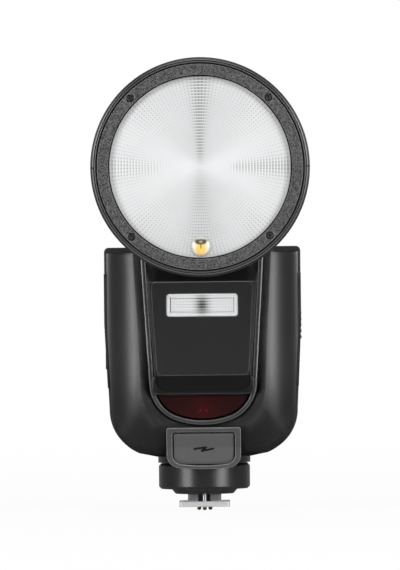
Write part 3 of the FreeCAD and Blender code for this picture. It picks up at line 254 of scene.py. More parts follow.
def plastic(name, colour, grain=2600.0, speckle=0.004, roughness=0.5, relief=0.00003, spec=0.4,
            edge=0.0003, painted_edge_shading=0.0):
    material = bpy.data.materials.new(name)
    material.use_nodes = True
    wires, shader = opened(material)
    shader["Specular IOR Level"].default_value = spec
    skin = wires.add("ShaderNodeGroup", {
        "Colour": (*colour, 1), "Grain Size": grain, "Speckle": speckle, "Gloss": roughness,
    }, node_tree=moulded_grain())
    pebbled = {"Distance": relief, "Height": skin["Height"]}
    if edge:
        eased = wires.add("ShaderNodeBevel", {"Radius": edge}, samples=4)["Normal"]
        pebbled["Normal"] = eased
    wires.feed(wires.add("ShaderNodeBump", pebbled)["Normal"], shader["Normal"])
    wires.feed(skin["Roughness"], shader["Roughness"])
    wires.feed(skin["Colour"], shader["Base Color"])
    if painted_edge_shading:
        # where the eased normal leaves the face's own, an edge is near, and painted edge shading
        # goes
        # there: a painted highlight on dark parts, painted shade on the pale foot plate
        own = wires.add("ShaderNodeNewGeometry")["Normal"]
        inputs = {0: eased, 1: own}
        match = wires.add("ShaderNodeVectorMath", inputs, operation="DOT_PRODUCT")["Value"]
        edge_shading_share = wires.ramp(match, 0.98, 0.85)
        wires.feed(wires.blend(edge_shading_share, skin["Colour"], (painted_edge_shading, painted_edge_shading, painted_edge_shading, 1)), shader["Base Color"])
    return material


def dress(material, *names):
    for name in names:
        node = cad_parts[name]
        for place in node.material_slots:
            place.material = material
        if not node.material_slots:
            node.data.materials.append(material)


shell_colour = (0.008, 0.008, 0.0085)
recess_painted_light = (0.25, 0.25, 0.25, 1)
recess_low, recess_high = 0.044, 0.064
under_high, under_low = 0.055, 0.029
sweep_high, sweep_low = 0.05, 0.036
plain_easing, swept_easing = 0.0025, 0.009
body_black = plastic("body_black", shell_colour, speckle=0.008, roughness=0.38, spec=1.0)
shell_black = plastic(
    "shell_black", shell_colour, speckle=0.008, roughness=0.38, spec=0.35, edge=plain_easing,
)
# its eased edges get painted edge shading, a painted highlight
rear_black = plastic(
    "rear_black", (0.018, 0.018, 0.019), speckle=0.008, roughness=0.38, spec=1.0, edge=0.0004,
    painted_edge_shading=0.08,
)
wires, shader = opened(shell_black)
slope = wires.add("ShaderNodeNewGeometry")["Normal"]
lean = wires.add("ShaderNodeSeparateXYZ", {0: slope})["X"]
x, y, z = wires.place()
# the walls of the recess look inward, and their upper part is painted paler: painted light
# where the slot would lie in shade
inward = wires.do("MULTIPLY", wires.do("SIGN", x), lean)
wall = wires.ramp(inward, -0.75, -0.9)
painted_wall_light = wires.do("MULTIPLY", wall, wires.ramp(z, recess_low, recess_high))
plain = shader["Base Color"].links[0].from_socket
wires.feed(wires.blend(painted_wall_light, plain, recess_painted_light), shader["Base Color"])
# toward the foot the shell turns under: its light fades, and its corners are swept rounder
under = wires.ramp(z, under_high, under_low, 1.0, 0.0, "SMOOTHSTEP")
wires.feed(under, shader["Coat Weight"])
shader["Coat Roughness"].default_value = 0.38
shader["Coat IOR"].default_value = 1.6
easing = shell_black.node_tree.nodes["Bevel"]
easing.samples = 8
sweep = wires.ramp(z, sweep_high, sweep_low, plain_easing, swept_easing, "SMOOTHSTEP")
wires.feed(sweep, easing.inputs["Radius"])
dress(shell_black, "front_shell")
# seen along its walls, the rear shell's rim is paler, with the sheen of a fine matt texture
wires, shader = opened(rear_black)
shader["Sheen Weight"].default_value = 0.3
shader["Sheen Roughness"].default_value = 0.3
dress(rear_black, "rear_shell", "bottom_plate")
screw_black = plastic(
    "screw_black", (0.02, 0.02, 0.021), grain=900.0, speckle=0.01, roughness=0.3, relief=0.00001,
    spec=1.0,
)
dress(screw_black, "body_screws")


# Bezel: a smooth U-shaped trim of gloss black plastic, pressed into the step of the front shell
# around the sub-flash. Its rounded lip catches the light, and a painted highlight runs down each
# side.
# its edges get painted edge shading, a painted highlight
gloss_black = plastic(
    "gloss_black", (0.008, 0.008, 0.009), grain=900.0, speckle=0.002, roughness=0.28,
    relief=0.000005, spec=1.0, edge=0.0004, painted_edge_shading=0.08,
)
bezel_grey = plastic(
    "bezel_grey", (0.02, 0.02, 0.0205), grain=900.0, roughness=0.3, relief=0.000005, spec=1.0,
    edge=0.0009, painted_edge_shading=0.4,
)
# its painted edge highlight is bright down the sides and duller round the foot
lip_foot_top, lip_side_foot = 0.038, 0.055
lip_dull, lip_bright = 0.2, 0.95
wires, shader = opened(bezel_grey)
x, y, z = wires.place()
bezel_edge_highlight = bezel_grey.node_tree.nodes["Mix"]
highlight_by_height = wires.ramp(z, lip_foot_top, lip_side_foot, lip_dull, lip_bright)
wires.feed(highlight_by_height, bezel_edge_highlight.inputs["B"])
dress(bezel_grey, "bezel_trim")


# Neck cover: a soft grey-black rubber flap, 22.8 mm wide, over the wired-control port. It leans
# back inside a gloss frame, with a sunk black line round its edge and a plain zigzag bolt.
cover_grey = plastic(
    "cover_grey", (0.08, 0.08, 0.082), grain=3200.0, speckle=0.02, roughness=0.55, relief=0.00004,
    edge=0.0025,
)
dress(cover_grey, "neck_cover")
# its edges get painted edge shading, a painted highlight
frame_black = plastic(
    "frame_black", (0.06, 0.06, 0.061), grain=1800.0, roughness=0.32, relief=0.00001, spec=1.0,
    edge=0.0006, painted_edge_shading=0.4,
)
dress(frame_black, "neck_frame")
print_black = plastic(
    "print_black", (0.003, 0.003, 0.003), grain=900.0, speckle=0.001, relief=0.000005, spec=0.3,
    edge=0.0,
)
sign_line = 0.0007
sign_thick = 0.0001
sign_stand = 0.00002
sign_points = ((-0.0036, -0.0001), (0.001, 0.0007), (-0.0008, -0.0008), (0.0036, 0.0001))
seam_in = 0.0002
seam_half = 0.00032
seam_round = 0.0032
seam_top_round = 0.0008
seam_black = (0.002, 0.002, 0.002, 1)


def clear_selection():
    if bpy.context.object and bpy.context.object.mode == "EDIT":
        bpy.ops.object.mode_set(mode="OBJECT")
    bpy.ops.object.select_all(action="DESELECT")


def settle(piece, name, material, body):
    # the piece's place goes into its mesh, then it rides on its body
    clear_selection()
    piece.name = name
    piece.select_set(True)
    bpy.context.view_layer.objects.active = piece
    bpy.ops.object.transform_apply(location=True, rotation=True, scale=True)
    piece.data.materials.clear()
    piece.data.materials.append(material)
    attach(piece, body)
    piece.select_set(False)
    return piece


def pattern(name, *outputs):
    # a pattern over one piece: its group, its wiring, and where a point lies across, in depth
    # and above the height that the material gives it
    group = bpy.data.node_groups.new(name, "ShaderNodeTree")
    group.interface.new_socket(
        name="Height Of Middle", in_out="INPUT", socket_type="NodeSocketFloat",
    )
    for output in outputs:
        group.interface.new_socket(name=output, in_out="OUTPUT", socket_type="NodeSocketFloat")
    wires = Wires(group)
    middle = wires.add("NodeGroupInput")["Height Of Middle"]
    x, y, z = wires.place()
    return group, wires, x, y, wires.do("SUBTRACT", z, middle)


def laid(wires, group, height):
    # the pattern as it lies in a material, measured from a height
    return wires.add("ShaderNodeGroup", {"Height Of Middle": height}, node_tree=group)


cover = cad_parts["neck_cover"]
front_side = max(cover.data.polygons, key=lambda side: -side.normal.y * side.area)
lean = front_side.normal.to_track_quat("Z", "Y").to_matrix().to_4x4()
cover_low, cover_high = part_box("neck_cover")
sign_level = (cover_low.z + cover_high.z) / 2
run = (sign_level - front_side.center.z) * front_side.normal.z / front_side.normal.y
sign_middle = Vector((0, front_side.center.y - run, sign_level))


def stroke(name, start, end):
    # one straight stroke of the bolt, from one point to the next, laid on the cover's slope
    clear_selection()
    way = Vector(end) - Vector(start)
    bpy.ops.mesh.primitive_plane_add(size=1)
    piece = bpy.context.object
    bpy.ops.object.mode_set(mode="EDIT")
    bpy.ops.mesh.select_all(action="SELECT")
    bpy.ops.mesh.bevel(offset=0.2, segments=3, affect="VERTICES")
    bpy.ops.mesh.select_all(action="SELECT")
    bpy.ops.mesh.extrude_region_move(TRANSFORM_OT_translate={"value": (0, 0, 1)})
    bpy.ops.mesh.select_all(action="SELECT")
    bpy.ops.mesh.normals_make_consistent(inside=False)
    bpy.ops.object.mode_set(mode="OBJECT")
    middle = (Vector(start) + Vector(end)) / 2
    size = Matrix.Diagonal((way.length + sign_line * 0.6, sign_line, sign_thick, 1))
    turn = Matrix.Rotation(math.atan2(way.y, way.x), 4, "Z")
    place = Matrix.Translation((middle.x, middle.y, sign_stand))
    piece.matrix_world = Matrix.Translation(sign_middle) @ lean @ place @ turn @ size
    settle(piece, name, print_black, "body")


for number in range(len(sign_points) - 1):
    stroke("bolt_stroke_%d" % (number + 1), sign_points[number], sign_points[number + 1])


def sunk_line():
    # near the rounded outline that lies seam_in inside the cover's edge
    group, wires, x, y, z = pattern("sunk_line", "Line")
    do = wires.do
    half_wide = (cover_high.x - cover_low.x) / 2 - seam_in
    half_tall = (cover_high.z - cover_low.z) / 2 - seam_in
    # the upper corners are sharper than the lower ones
    sharper = do("MULTIPLY", do("GREATER_THAN", z, 0.0), seam_round - seam_top_round)
    bend = do("SUBTRACT", seam_round, sharper)
    wide = do("SUBTRACT", do("ABSOLUTE", x), do("SUBTRACT", half_wide, bend))
    tall = do("SUBTRACT", do("ABSOLUTE", z), do("SUBTRACT", half_tall, bend))
    corner = wires.far(do("MAXIMUM", wide, 0.0), do("MAXIMUM", tall, 0.0))
    straight = do("MINIMUM", do("MAXIMUM", wide, tall), 0.0)
    away = do("SUBTRACT", do("ADD", corner, straight), bend)
    line = do("LESS_THAN", do("ABSOLUTE", away), seam_half)
    wires.add("NodeGroupOutput", {"Line": line})
    return group


wires, shader = opened(cover_grey)
line = laid(wires, sunk_line(), sign_level)["Line"]
rubber = shader["Base Color"].links[0].from_socket
wires.feed(wires.blend(line, rubber, seam_black), shader["Base Color"])


# Red window: a smooth dark red plate in the foot of the bezel, over the focus-assist lamp. The
# lamp's ring and its two small diodes show through it faintly; they are painted on it, in a soft
# painted glow.
assist_low, assist_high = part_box("assist_lamp")
assist_middle = (assist_low + assist_high) / 2
ring_radius = 0.0018
ring_soft = 0.0002
diode_gap = 0.001
diode_size = 0.00032
glow_reach = 0.007
red_deep = (0.009, 0.001, 0.001, 1)
red_painted_glow = (0.045, 0.001, 0.001, 1)
red_diode = (0.16, 0.003, 0.003, 1)


def lamp_behind():
    # painted where the lamp shows through the plate: its ring, its two diodes and a soft painted
    # glow
    group, wires, x, y, z = pattern("lamp_behind", "Glow", "Diodes")
    do = wires.do
    radius = wires.far(x, z)
    off_ring = do("DIVIDE", do("SUBTRACT", radius, ring_radius), ring_soft)
    ring = wires.fall(do("MULTIPLY", do("MULTIPLY", off_ring, off_ring), -1))
    soft = wires.fall(do("MULTIPLY", radius, -1 / glow_reach))
    glow = do("ADD", do("MULTIPLY", ring, 0.3), do("MULTIPLY", soft, 0.7))
    near = wires.far(do("SUBTRACT", do("ABSOLUTE", x), diode_gap), z)
    wires.add("NodeGroupOutput", {"Glow": glow, "Diodes": do("LESS_THAN", near, diode_size)})
    return group


window_red = plastic(
    "window_red", (0.035, 0.001, 0.001), grain=300.0, speckle=0.0, roughness=0.12, relief=0.000004,
    spec=0.5,
)
wires, shader = opened(window_red)
behind = laid(wires, lamp_behind(), assist_middle.z)
deep = wires.blend(behind["Glow"], red_deep, red_painted_glow)
wires.feed(wires.blend(behind["Diodes"], deep, red_diode), shader["Base Color"])
dress(window_red, "assist_window", "assist_lamp")


# Foot: a turning lock collar round a short neck, and a bright stamped steel shoe plate, 18.6 mm
# wide, on a black base with a spring pin and three sprung contacts with round gold tips.
inner_black = plastic("inner_black", (0.015, 0.015, 0.015), grain=1500.0, roughness=0.6)


def metal(name, colour, roughness, grain=900.0, relief=0.00001, edge=0.0003, painted_edge_shading=0.0,
          metallic=1.0):
    material = plastic(name, colour, grain, 0.02, roughness, relief, 0.5, edge, painted_edge_shading)
    opened(material)[1]["Metallic"].default_value = metallic
    return material


plate_colour = (0.7, 0.7, 0.71)
# the plate's edges are painted with a dark outline, as painted shade
foot_metal = metal(
    "foot_metal", plate_colour, roughness=0.4, edge=0.00035, painted_edge_shading=0.06, metallic=0.35,
)
steel = metal("steel", (0.5, 0.5, 0.52), roughness=0.3)
contact_gold = metal("contact_gold", (0.75, 0.62, 0.35), roughness=0.25)
collar_black = plastic(
    "collar_black", (0.005, 0.005, 0.0055), speckle=0.003, roughness=0.28, relief=0.000015,
    spec=1.0,
)
dress(collar_black, "lock_collar", "foot_base")
dress(gloss_black, "foot_flange")
dress(inner_black, "foot_insert")
dress(foot_metal, "foot_plate")
dress(steel, "lock_pin")
dress(contact_gold, "contact_pins")

# the stem above the plate is painted darker, as painted shade
foot_low, foot_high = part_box("foot_plate")
plate_thick = 0.002
stem_fade = 0.0003
plate_top = foot_low.z + plate_thick
stem_painted_shade = (0.2, 0.2, 0.205, 1)
wires, shader = opened(foot_metal)
x, y, z = wires.place()
above = wires.ramp(z, plate_top, plate_top + stem_fade)
painted_edge_shade_mix = shader["Base Color"].links[0].from_node
wires.feed(wires.blend(above, (*plate_colour, 1), stem_painted_shade), painted_edge_shade_mix.inputs["A"])


def pick(piece, kind, wanted):
    # in edit mode, only the faces or edges that pass a test are selected
    bpy.ops.mesh.select_all(action="DESELECT")
    mesh = bmesh.from_edit_mesh(piece.data)
    for part in getattr(mesh, kind):
        part.select_set(wanted(part))
    bmesh.update_edit_mesh(piece.data)


pin_low, pin_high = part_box("contact_pins")
pin_radius = 0.00075
pin_length = pin_high.z - pin_low.z
pin_places = (
    ((pin_low.x + pin_high.x) / 2, pin_low.y + pin_radius),
    (pin_low.x + pin_radius, pin_high.y - pin_radius),
    (pin_high.x - pin_radius, pin_high.y - pin_radius),
)
for number, (across, back) in enumerate(pin_places):
    # a short round pin whose lower end is rounded off to a dome
    clear_selection()
    bpy.ops.mesh.primitive_cylinder_add(
        vertices=32, radius=pin_radius, depth=pin_length,
        location=(across, back, (pin_low.z + pin_high.z) / 2),
    )
    pin = bpy.context.object
    bpy.ops.object.mode_set(mode="EDIT")
    pick(pin, "faces", lambda face: face.normal.z < -0.9)
    bpy.ops.mesh.region_to_loop()
    bpy.ops.mesh.bevel(offset=pin_radius * 0.85, segments=6)
    bpy.ops.object.mode_set(mode="OBJECT")
    bpy.ops.object.shade_smooth_by_angle(angle=math.radians(40))
    settle(pin, "contact_pin_%d" % (number + 1), contact_gold, "contacts")
    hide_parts("contact_pins")


# Sub-flash: a black moulded case, 40.4 mm wide, that pulls forward out of the body. Its eased
# edges catch the light and carry painted highlights, and a wider lip with rounded corners is
# moulded along its foot.
# its edges get painted edge shading, a painted highlight
case_black = plastic(
    "case_black", (0.006, 0.006, 0.0065), speckle=0.002, roughness=0.34, relief=0.000004,
    spec=0.25, edge=0.0006, painted_edge_shading=0.11,
)
line_half = 0.00014
painted_highlight_pale = (0.15, 0.15, 0.153, 1)
case_front = -0.0262
top_edge, top_reach = 0.0827, 0.0199
lip_edge, lip_reach, lip_share = 0.0487, 0.0181, 0.2


def case_edges():
    # painted highlight lines along the case's upper and lower edges, and the duller part below the
    # lip
    group, wires, x, y, z = pattern("case_edges", "Line", "Lip")
    do = wires.do

    def across(height, reach):
        near = do("LESS_THAN", do("ABSOLUTE", do("SUBTRACT", z, height)), line_half)
        return do("MULTIPLY", near, do("LESS_THAN", do("ABSOLUTE", x), reach))

    lower = do("MULTIPLY", across(lip_edge, lip_reach), lip_share)
    line = do("MAXIMUM", across(top_edge, top_reach), lower)
    line = do("MULTIPLY", line, do("LESS_THAN", y, case_front))
    wires.add("NodeGroupOutput", {"Line": line, "Lip": do("LESS_THAN", z, lip_edge)})
    return group


wires, shader = opened(case_black)
edges = laid(wires, case_edges(), 0.0)
plain = shader["Base Color"].links[0].from_socket
wires.feed(wires.blend(edges["Line"], plain, painted_highlight_pale), shader["Base Color"])
wires.feed(wires.ramp(edges["Lip"], 0.0, 1.0, 1.0, 0.0), shader["Coat Weight"])
shader["Coat Roughness"].default_value = 0.3
shader["Coat IOR"].default_value = 1.65
dress(case_black, "sub_flash_case")
dress(inner_black, "sub_flash_back")


def rounded_block(low, high, corner, axis, segments):
    # a block whose four edges along one axis are rounded, left in edit mode
    clear_selection()
    low, high = Vector(low), Vector(high)
    bpy.ops.mesh.primitive_cube_add(size=1, location=(low + high) / 2, scale=high - low)
    piece = bpy.context.object
    bpy.ops.object.transform_apply(location=False, rotation=False, scale=True)
    bpy.ops.object.mode_set(mode="EDIT")

    def runs_along(edge):
        way = edge.verts[0].co - edge.verts[1].co
        return abs(way.normalized()[axis]) > 0.9

    pick(piece, "edges", runs_along)
    bpy.ops.mesh.bevel(offset=corner, segments=segments)
    return piece


def moulded_block(name, low, high, corner, material, body, axis=1, segments=4):
    # a rounded block with the rims of both ends eased
    piece = rounded_block(low, high, corner, axis, segments)
    pick(piece, "faces", lambda face: abs(face.normal[axis]) > 0.9)
    bpy.ops.mesh.region_to_loop()
    depth = high[axis] - low[axis]
    bpy.ops.mesh.bevel(offset=min(corner, depth) * 0.3, segments=2)
    bpy.ops.object.mode_set(mode="OBJECT")
    bpy.ops.object.shade_smooth_by_angle(angle=math.radians(40))
    return settle(piece, name, material, body)


# its edges get painted edge shading, a painted highlight
lip_black = plastic(
    "lip_black", (0.005, 0.005, 0.0055), speckle=0.002, roughness=0.35, relief=0.000015, spec=0.3,
    edge=0.0005, painted_edge_shading=0.25,
)
lip_half = 0.0189
lip_front, lip_back = -0.0273, -0.0248
lip_foot = 0.0417
lip_round = 0.0024
moulded_block(
    "case_lip", (-lip_half, lip_front, lip_foot), (lip_half, lip_back, lip_edge), lip_round,
    lip_black, "sub_flash", 1, 6,
)
mirror_metal = metal("mirror_metal", (0.9, 0.9, 0.9), roughness=0.12, grain=300.0, relief=0.00005)
tube_clear = plastic(
    "tube_clear", (0.95, 0.96, 0.98), grain=400.0, speckle=0.0, roughness=0.05, relief=0.00002,
    spec=0.5,
)
opened(tube_clear)[1]["Transmission Weight"].default_value = 0.9
dress(mirror_metal, "sub_flash_reflector")
dress(tube_clear, "sub_flash_tube")


# Sub-flash window: a clear plate with a raised rim, moulded inside with fine ribs that spread
# the light, over a bright trough. Painted light and shade run in bands along its ribs, and its
# middle shows the dark tube and the trough's far side.
window_low, window_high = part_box("sub_flash_window")
window_middle = (window_low + window_high) / 2
rim_width = 0.0014
rim_sink = 0.0003
rib_count = 9
corner_round = 0.0011
window_pale = (0.8, 0.81, 0.82, 1)
window_shade = (0.07, 0.07, 0.07, 1)
tube_half_wide, tube_half_tall, tube_dark = 0.0024, 0.0034, 0.85
band_pitch, fine_pitch = 0.00105, 0.0011
mouth_half_wide, mouth_half_tall, mouth_line = 0.0115, 0.00245, 0.00012
rim_flat, rim_slope = 0.00025, 0.00015


def ribbed_window():
    # painted light and shade in bands along the ribs, and a soft dark stripe across the middle
    group, wires, x, y, z = pattern("ribbed_window", "Light")
    do = wires.do
    aside = do("MULTIPLY", do("MULTIPLY", x, x), -1 / tube_half_wide ** 2)
    above = do("MULTIPLY", do("MULTIPLY", z, z), -1 / tube_half_tall ** 2)
    core = do("MULTIPLY", do("MULTIPLY", wires.fall(aside), tube_dark), wires.fall(above))
    bands = do("SINE", do("MULTIPLY", z, 2 * math.pi / band_pitch))
    share = do("ADD", do("MULTIPLY", wires.fall(do("MULTIPLY", aside, 0.2)), 0.16), 0.03)
    fine = do("MULTIPLY", do("SINE", do("MULTIPLY", x, 2 * math.pi / fine_pitch)), 0.02)
    light = do("SUBTRACT", do("ADD", 0.93, fine), do("ADD", core, do("MULTIPLY", bands, share)))
    # the trough's mouth shows as one thin grey outline inside the frame
    wide = do("SUBTRACT", do("ABSOLUTE", x), mouth_half_wide)
    tall = do("SUBTRACT", do("ABSOLUTE", z), mouth_half_tall)
    mouth = do("LESS_THAN", do("ABSOLUTE", do("MAXIMUM", wide, tall)), mouth_line)
    light = do("SUBTRACT", light, do("MULTIPLY", mouth, 0.5))
    wires.add("NodeGroupOutput", {"Light": light})
    return group


window_ribs = bpy.data.materials.new("window_ribs")
window_ribs.use_nodes = True
wires, shader = opened(window_ribs)
shader["Roughness"].default_value = 0.15
light = laid(wires, ribbed_window(), window_middle.z)["Light"]
wires.feed(wires.blend(light, window_shade, window_pale), shader["Base Color"])

window = rounded_block(window_low, window_high, corner_round, 1, 6)
pick(window, "faces", lambda face: face.normal.y < -0.9)
bpy.ops.mesh.inset(thickness=rim_flat, depth=0.0)
bpy.ops.mesh.inset(thickness=rim_width - rim_flat - rim_slope)
bpy.ops.mesh.inset(thickness=rim_slope, depth=-rim_sink)
bpy.ops.object.mode_set(mode="OBJECT")
settle(window, "ribbed_window", window_ribs, "sub_flash")
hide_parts("sub_flash_window")

size = window_high - window_low
rib_span = (size.z - 2 * rim_width) / rib_count
rib_back = window_low.y + rim_sink
for number in range(rib_count):
    clear_selection()
    height = window_low.z + rim_width + (number + 0.5) * rib_span
    bpy.ops.mesh.primitive_cylinder_add(
        vertices=16, radius=rib_span / 2, depth=size.x - 2 * rim_width - 0.0004,
        location=(window_middle.x, rib_back, height), rotation=(0, math.pi / 2, 0),
    )
    rib = bpy.context.object
    bpy.ops.object.mode_set(mode="EDIT")
    bpy.ops.mesh.select_all(action="SELECT")
    bpy.ops.transform.resize(value=(1, 0.5, 1))
    bpy.ops.object.mode_set(mode="OBJECT")
    bpy.ops.object.shade_smooth_by_angle(angle=math.radians(50))
    settle(rib, "window_rib_%d" % (number + 1), window_ribs, "sub_flash")


# Head: two black moulded shells that meet at the middle, 79 mm across at the rim, with a
# speckled front ring held by four black screws. A fine seam notches the rim at each side.
head_black = plastic("head_black", (0.024, 0.024, 0.025), roughness=0.36, relief=0.00002, spec=0.2)
head_low, head_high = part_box("head_upper_shell")
ring_low, ring_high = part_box("front_ring")
head_middle = (ring_low + ring_high) / 2
rim_back, rim_front = -0.0642, -0.0645
drum_start, drum_end = 0.0386, 0.0389
rim_top, rim_foot = 0.163, 0.084
rim_dark, rim_pale = 0.025, 0.15
wires, shader = opened(head_black)
x, y, z = wires.place()
# the drum round the rim is duller, so that the head keeps a dark outline
reach = wires.far(x, wires.do("SUBTRACT", z, head_low.z))
drum = wires.ramp(reach, drum_start, drum_end, 1.0, 0.0)
wires.feed(drum, shader["Coat Weight"])
shader["Coat Roughness"].default_value = 0.36
shader["Coat IOR"].default_value = 1.65
# the rim is painted paler toward its foot, a painted reflection of the floor's light
rim = wires.do("MULTIPLY", wires.ramp(y, rim_back, rim_front), drum)
painted_floor_light = wires.ramp(z, rim_top, rim_foot, rim_dark, rim_pale)
plain = shader["Base Color"].links[0].from_socket
wires.feed(wires.blend(rim, plain, painted_floor_light), shader["Base Color"])
dress(head_black, "head_upper_shell", "head_lower_shell")

ring_finish = ((0.008, 0.008, 0.0085), 2200.0, 0.12, 0.5, 0.00015, 0.4)
ring_black = plastic("ring_black", *ring_finish)
# the ring's face gets painted edge shading, a painted highlight along its chamfer edges
ring_face = plastic("ring_face", *ring_finish, 0.0003, 0.3)
dress(ring_face, "front_ring")
screw_colour = (0.003, 0.003, 0.003)
ring_screw_black = plastic(
    "ring_screw_black", screw_colour, grain=900.0, speckle=0.001, roughness=0.3, relief=0.00001,
    spec=0.6,
)
dress(ring_screw_black, "ring_screws")
# the screw faces get painted edge shading, painted highlights on their rims and buttons
screw_face_black = plastic(
    "screw_face_black", screw_colour, grain=900.0, speckle=0.001, roughness=0.22, relief=0.00001,
    spec=1.0, edge=0.0001, painted_edge_shading=0.3,
)
# near-black for the seam notches and dark hoops: dark joints and grooves, and painted shade below
# the rim's step
groove_and_shade_black = plastic(
    "groove_and_shade_black", (0.001, 0.001, 0.001), grain=900.0, speckle=0.0, roughness=0.7,
    relief=0.000005, spec=0.1, edge=0.0,
)
bead_black = plastic(
    "bead_black", (0.06, 0.06, 0.061), roughness=0.35, relief=0.00001, spec=1.0, edge=0.0,
)


def hoop(name, radius, thick, depth, material):
    # one thin hoop round the head's front, at a depth behind the ring's face
    clear_selection()
    bpy.ops.mesh.primitive_torus_add(
        major_radius=radius, minor_radius=thick, major_segments=160, minor_segments=10,
        location=(head_middle.x, ring_low.y + depth, head_middle.z), rotation=(math.pi / 2, 0, 0),
    )
    bpy.ops.object.mode_set(mode="EDIT")
    bpy.ops.mesh.select_all(action="SELECT")
    bpy.ops.transform.resize(value=(1, 0.8, 1))
    bpy.ops.object.mode_set(mode="OBJECT")
    piece = bpy.context.object
    bpy.ops.object.shade_smooth()
    return settle(piece, name, material, "head")


# each hoop's radius, thickness and depth
hoop("rim_bead", 0.0378, 0.00028, 0.0007, bead_black)
# the dark hoop at the rim is painted shade below its step
hoop("rim_step_shade", 0.03825, 0.00016, 0.0006, groove_and_shade_black)
hoop("lens_seat", 0.0329, 0.0003, 0.00025, groove_and_shade_black)
hoop("ring_groove", 0.0372, 0.00027, 0.0003, groove_and_shade_black)

rim_radius = 0.0392
seam_reach = 0.0024
seam_deep = 0.0011
seam_sink = 0.00135
seam_ease = 0.00008
notch_half = 0.00016
for side, name in ((-1, "rim_seam_left"), (1, "rim_seam_right")):
    # the notch where the two shells meet, cut across the rim at each side
    clear_selection()
    bpy.ops.mesh.primitive_cube_add(
        size=1, scale=(seam_reach, seam_deep, 2 * notch_half),
        location=(side * (rim_radius - seam_reach / 2), ring_low.y + seam_sink, head_middle.z),
    )
    seam = bpy.context.object
    bpy.ops.object.mode_set(mode="EDIT")
    bpy.ops.mesh.select_all(action="SELECT")
    bpy.ops.mesh.bevel(offset=seam_ease, segments=2)
    bpy.ops.object.mode_set(mode="OBJECT")
    settle(seam, name, groove_and_shade_black, "head")

screw_low, screw_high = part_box("ring_screws")
screw_radius = 0.0015
screw_across = (screw_high.x - screw_low.x) / 2 - screw_radius
screw_rise = (screw_high.z - screw_low.z) / 2 - screw_radius
screw_middle = (screw_low + screw_high) / 2
screw_face_thick = 0.0003
screw_face_sink = 0.0002
# the width and the rise of each step from the rim inward
screw_steps = (
    (0.0001, 0.00004), (0.00045, 0.0), (0.00008, -0.0002), (0.00025, 0.0), (0.00008, 0.00018),
)
screw_face = ring_low.y + screw_face_sink
for number, (side, rise) in enumerate(((1, 1), (-1, 1), (1, -1), (-1, -1))):
    # the face of one ring screw: a rounded rim, a groove and a raised button in the middle
    clear_selection()
    bpy.ops.mesh.primitive_cylinder_add(
        vertices=32, radius=screw_radius, depth=screw_face_thick, rotation=(math.pi / 2, 0, 0),
        location=(side * screw_across, screw_face, screw_middle.z + rise * screw_rise),
    )
    button = bpy.context.object
    bpy.ops.object.mode_set(mode="EDIT")
    pick(button, "faces", lambda face: face.normal.z > 0.9)
    for width, depth in screw_steps:
        bpy.ops.mesh.inset(thickness=width, depth=depth)
    bpy.ops.object.mode_set(mode="OBJECT")
    settle(button, "screw_face_%d" % (number + 1), screw_face_black, "head")


# Lens: one moulded disc of clear prismatic plastic, held in the ring from behind. Its face is a
# field of fine concentric prisms, which break the mirror bowl behind them into rows of dots; its
# colour carries these as a painted reflection of the bowl.
lens_low, lens_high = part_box("fresnel_lens")
lens_middle = (lens_low + lens_high) / 2
lens_radius = (lens_high.x - lens_low.x) / 2
lens_face = lens_low.y
lens_border = 0.0012
groove_pitch = 0.00108
groove_rise = 0.00003
lens_bright = (0.67, 0.675, 0.68, 1)
lens_dark = (0.07, 0.07, 0.075, 1)
dots_round = 140
fans_round = 8
wedge_foot = 0.0008
wedge_gate = 0.006
dots_rise = 45
fan_depth, fan_level = 0.16, 0.42
line_depth = 0.025
sector_depth = 0.06
lobe_fall, lobe_depth = -110, 0.16
cloud_scale, cloud_depth = 90.0, 0.12
prism_level = 0.86


def level_out(wires, radius, rise):
    # nothing in the very middle, and the whole from a little way out
    return wires.do("MINIMUM", wires.do("MULTIPLY", radius, rise), 1.0)


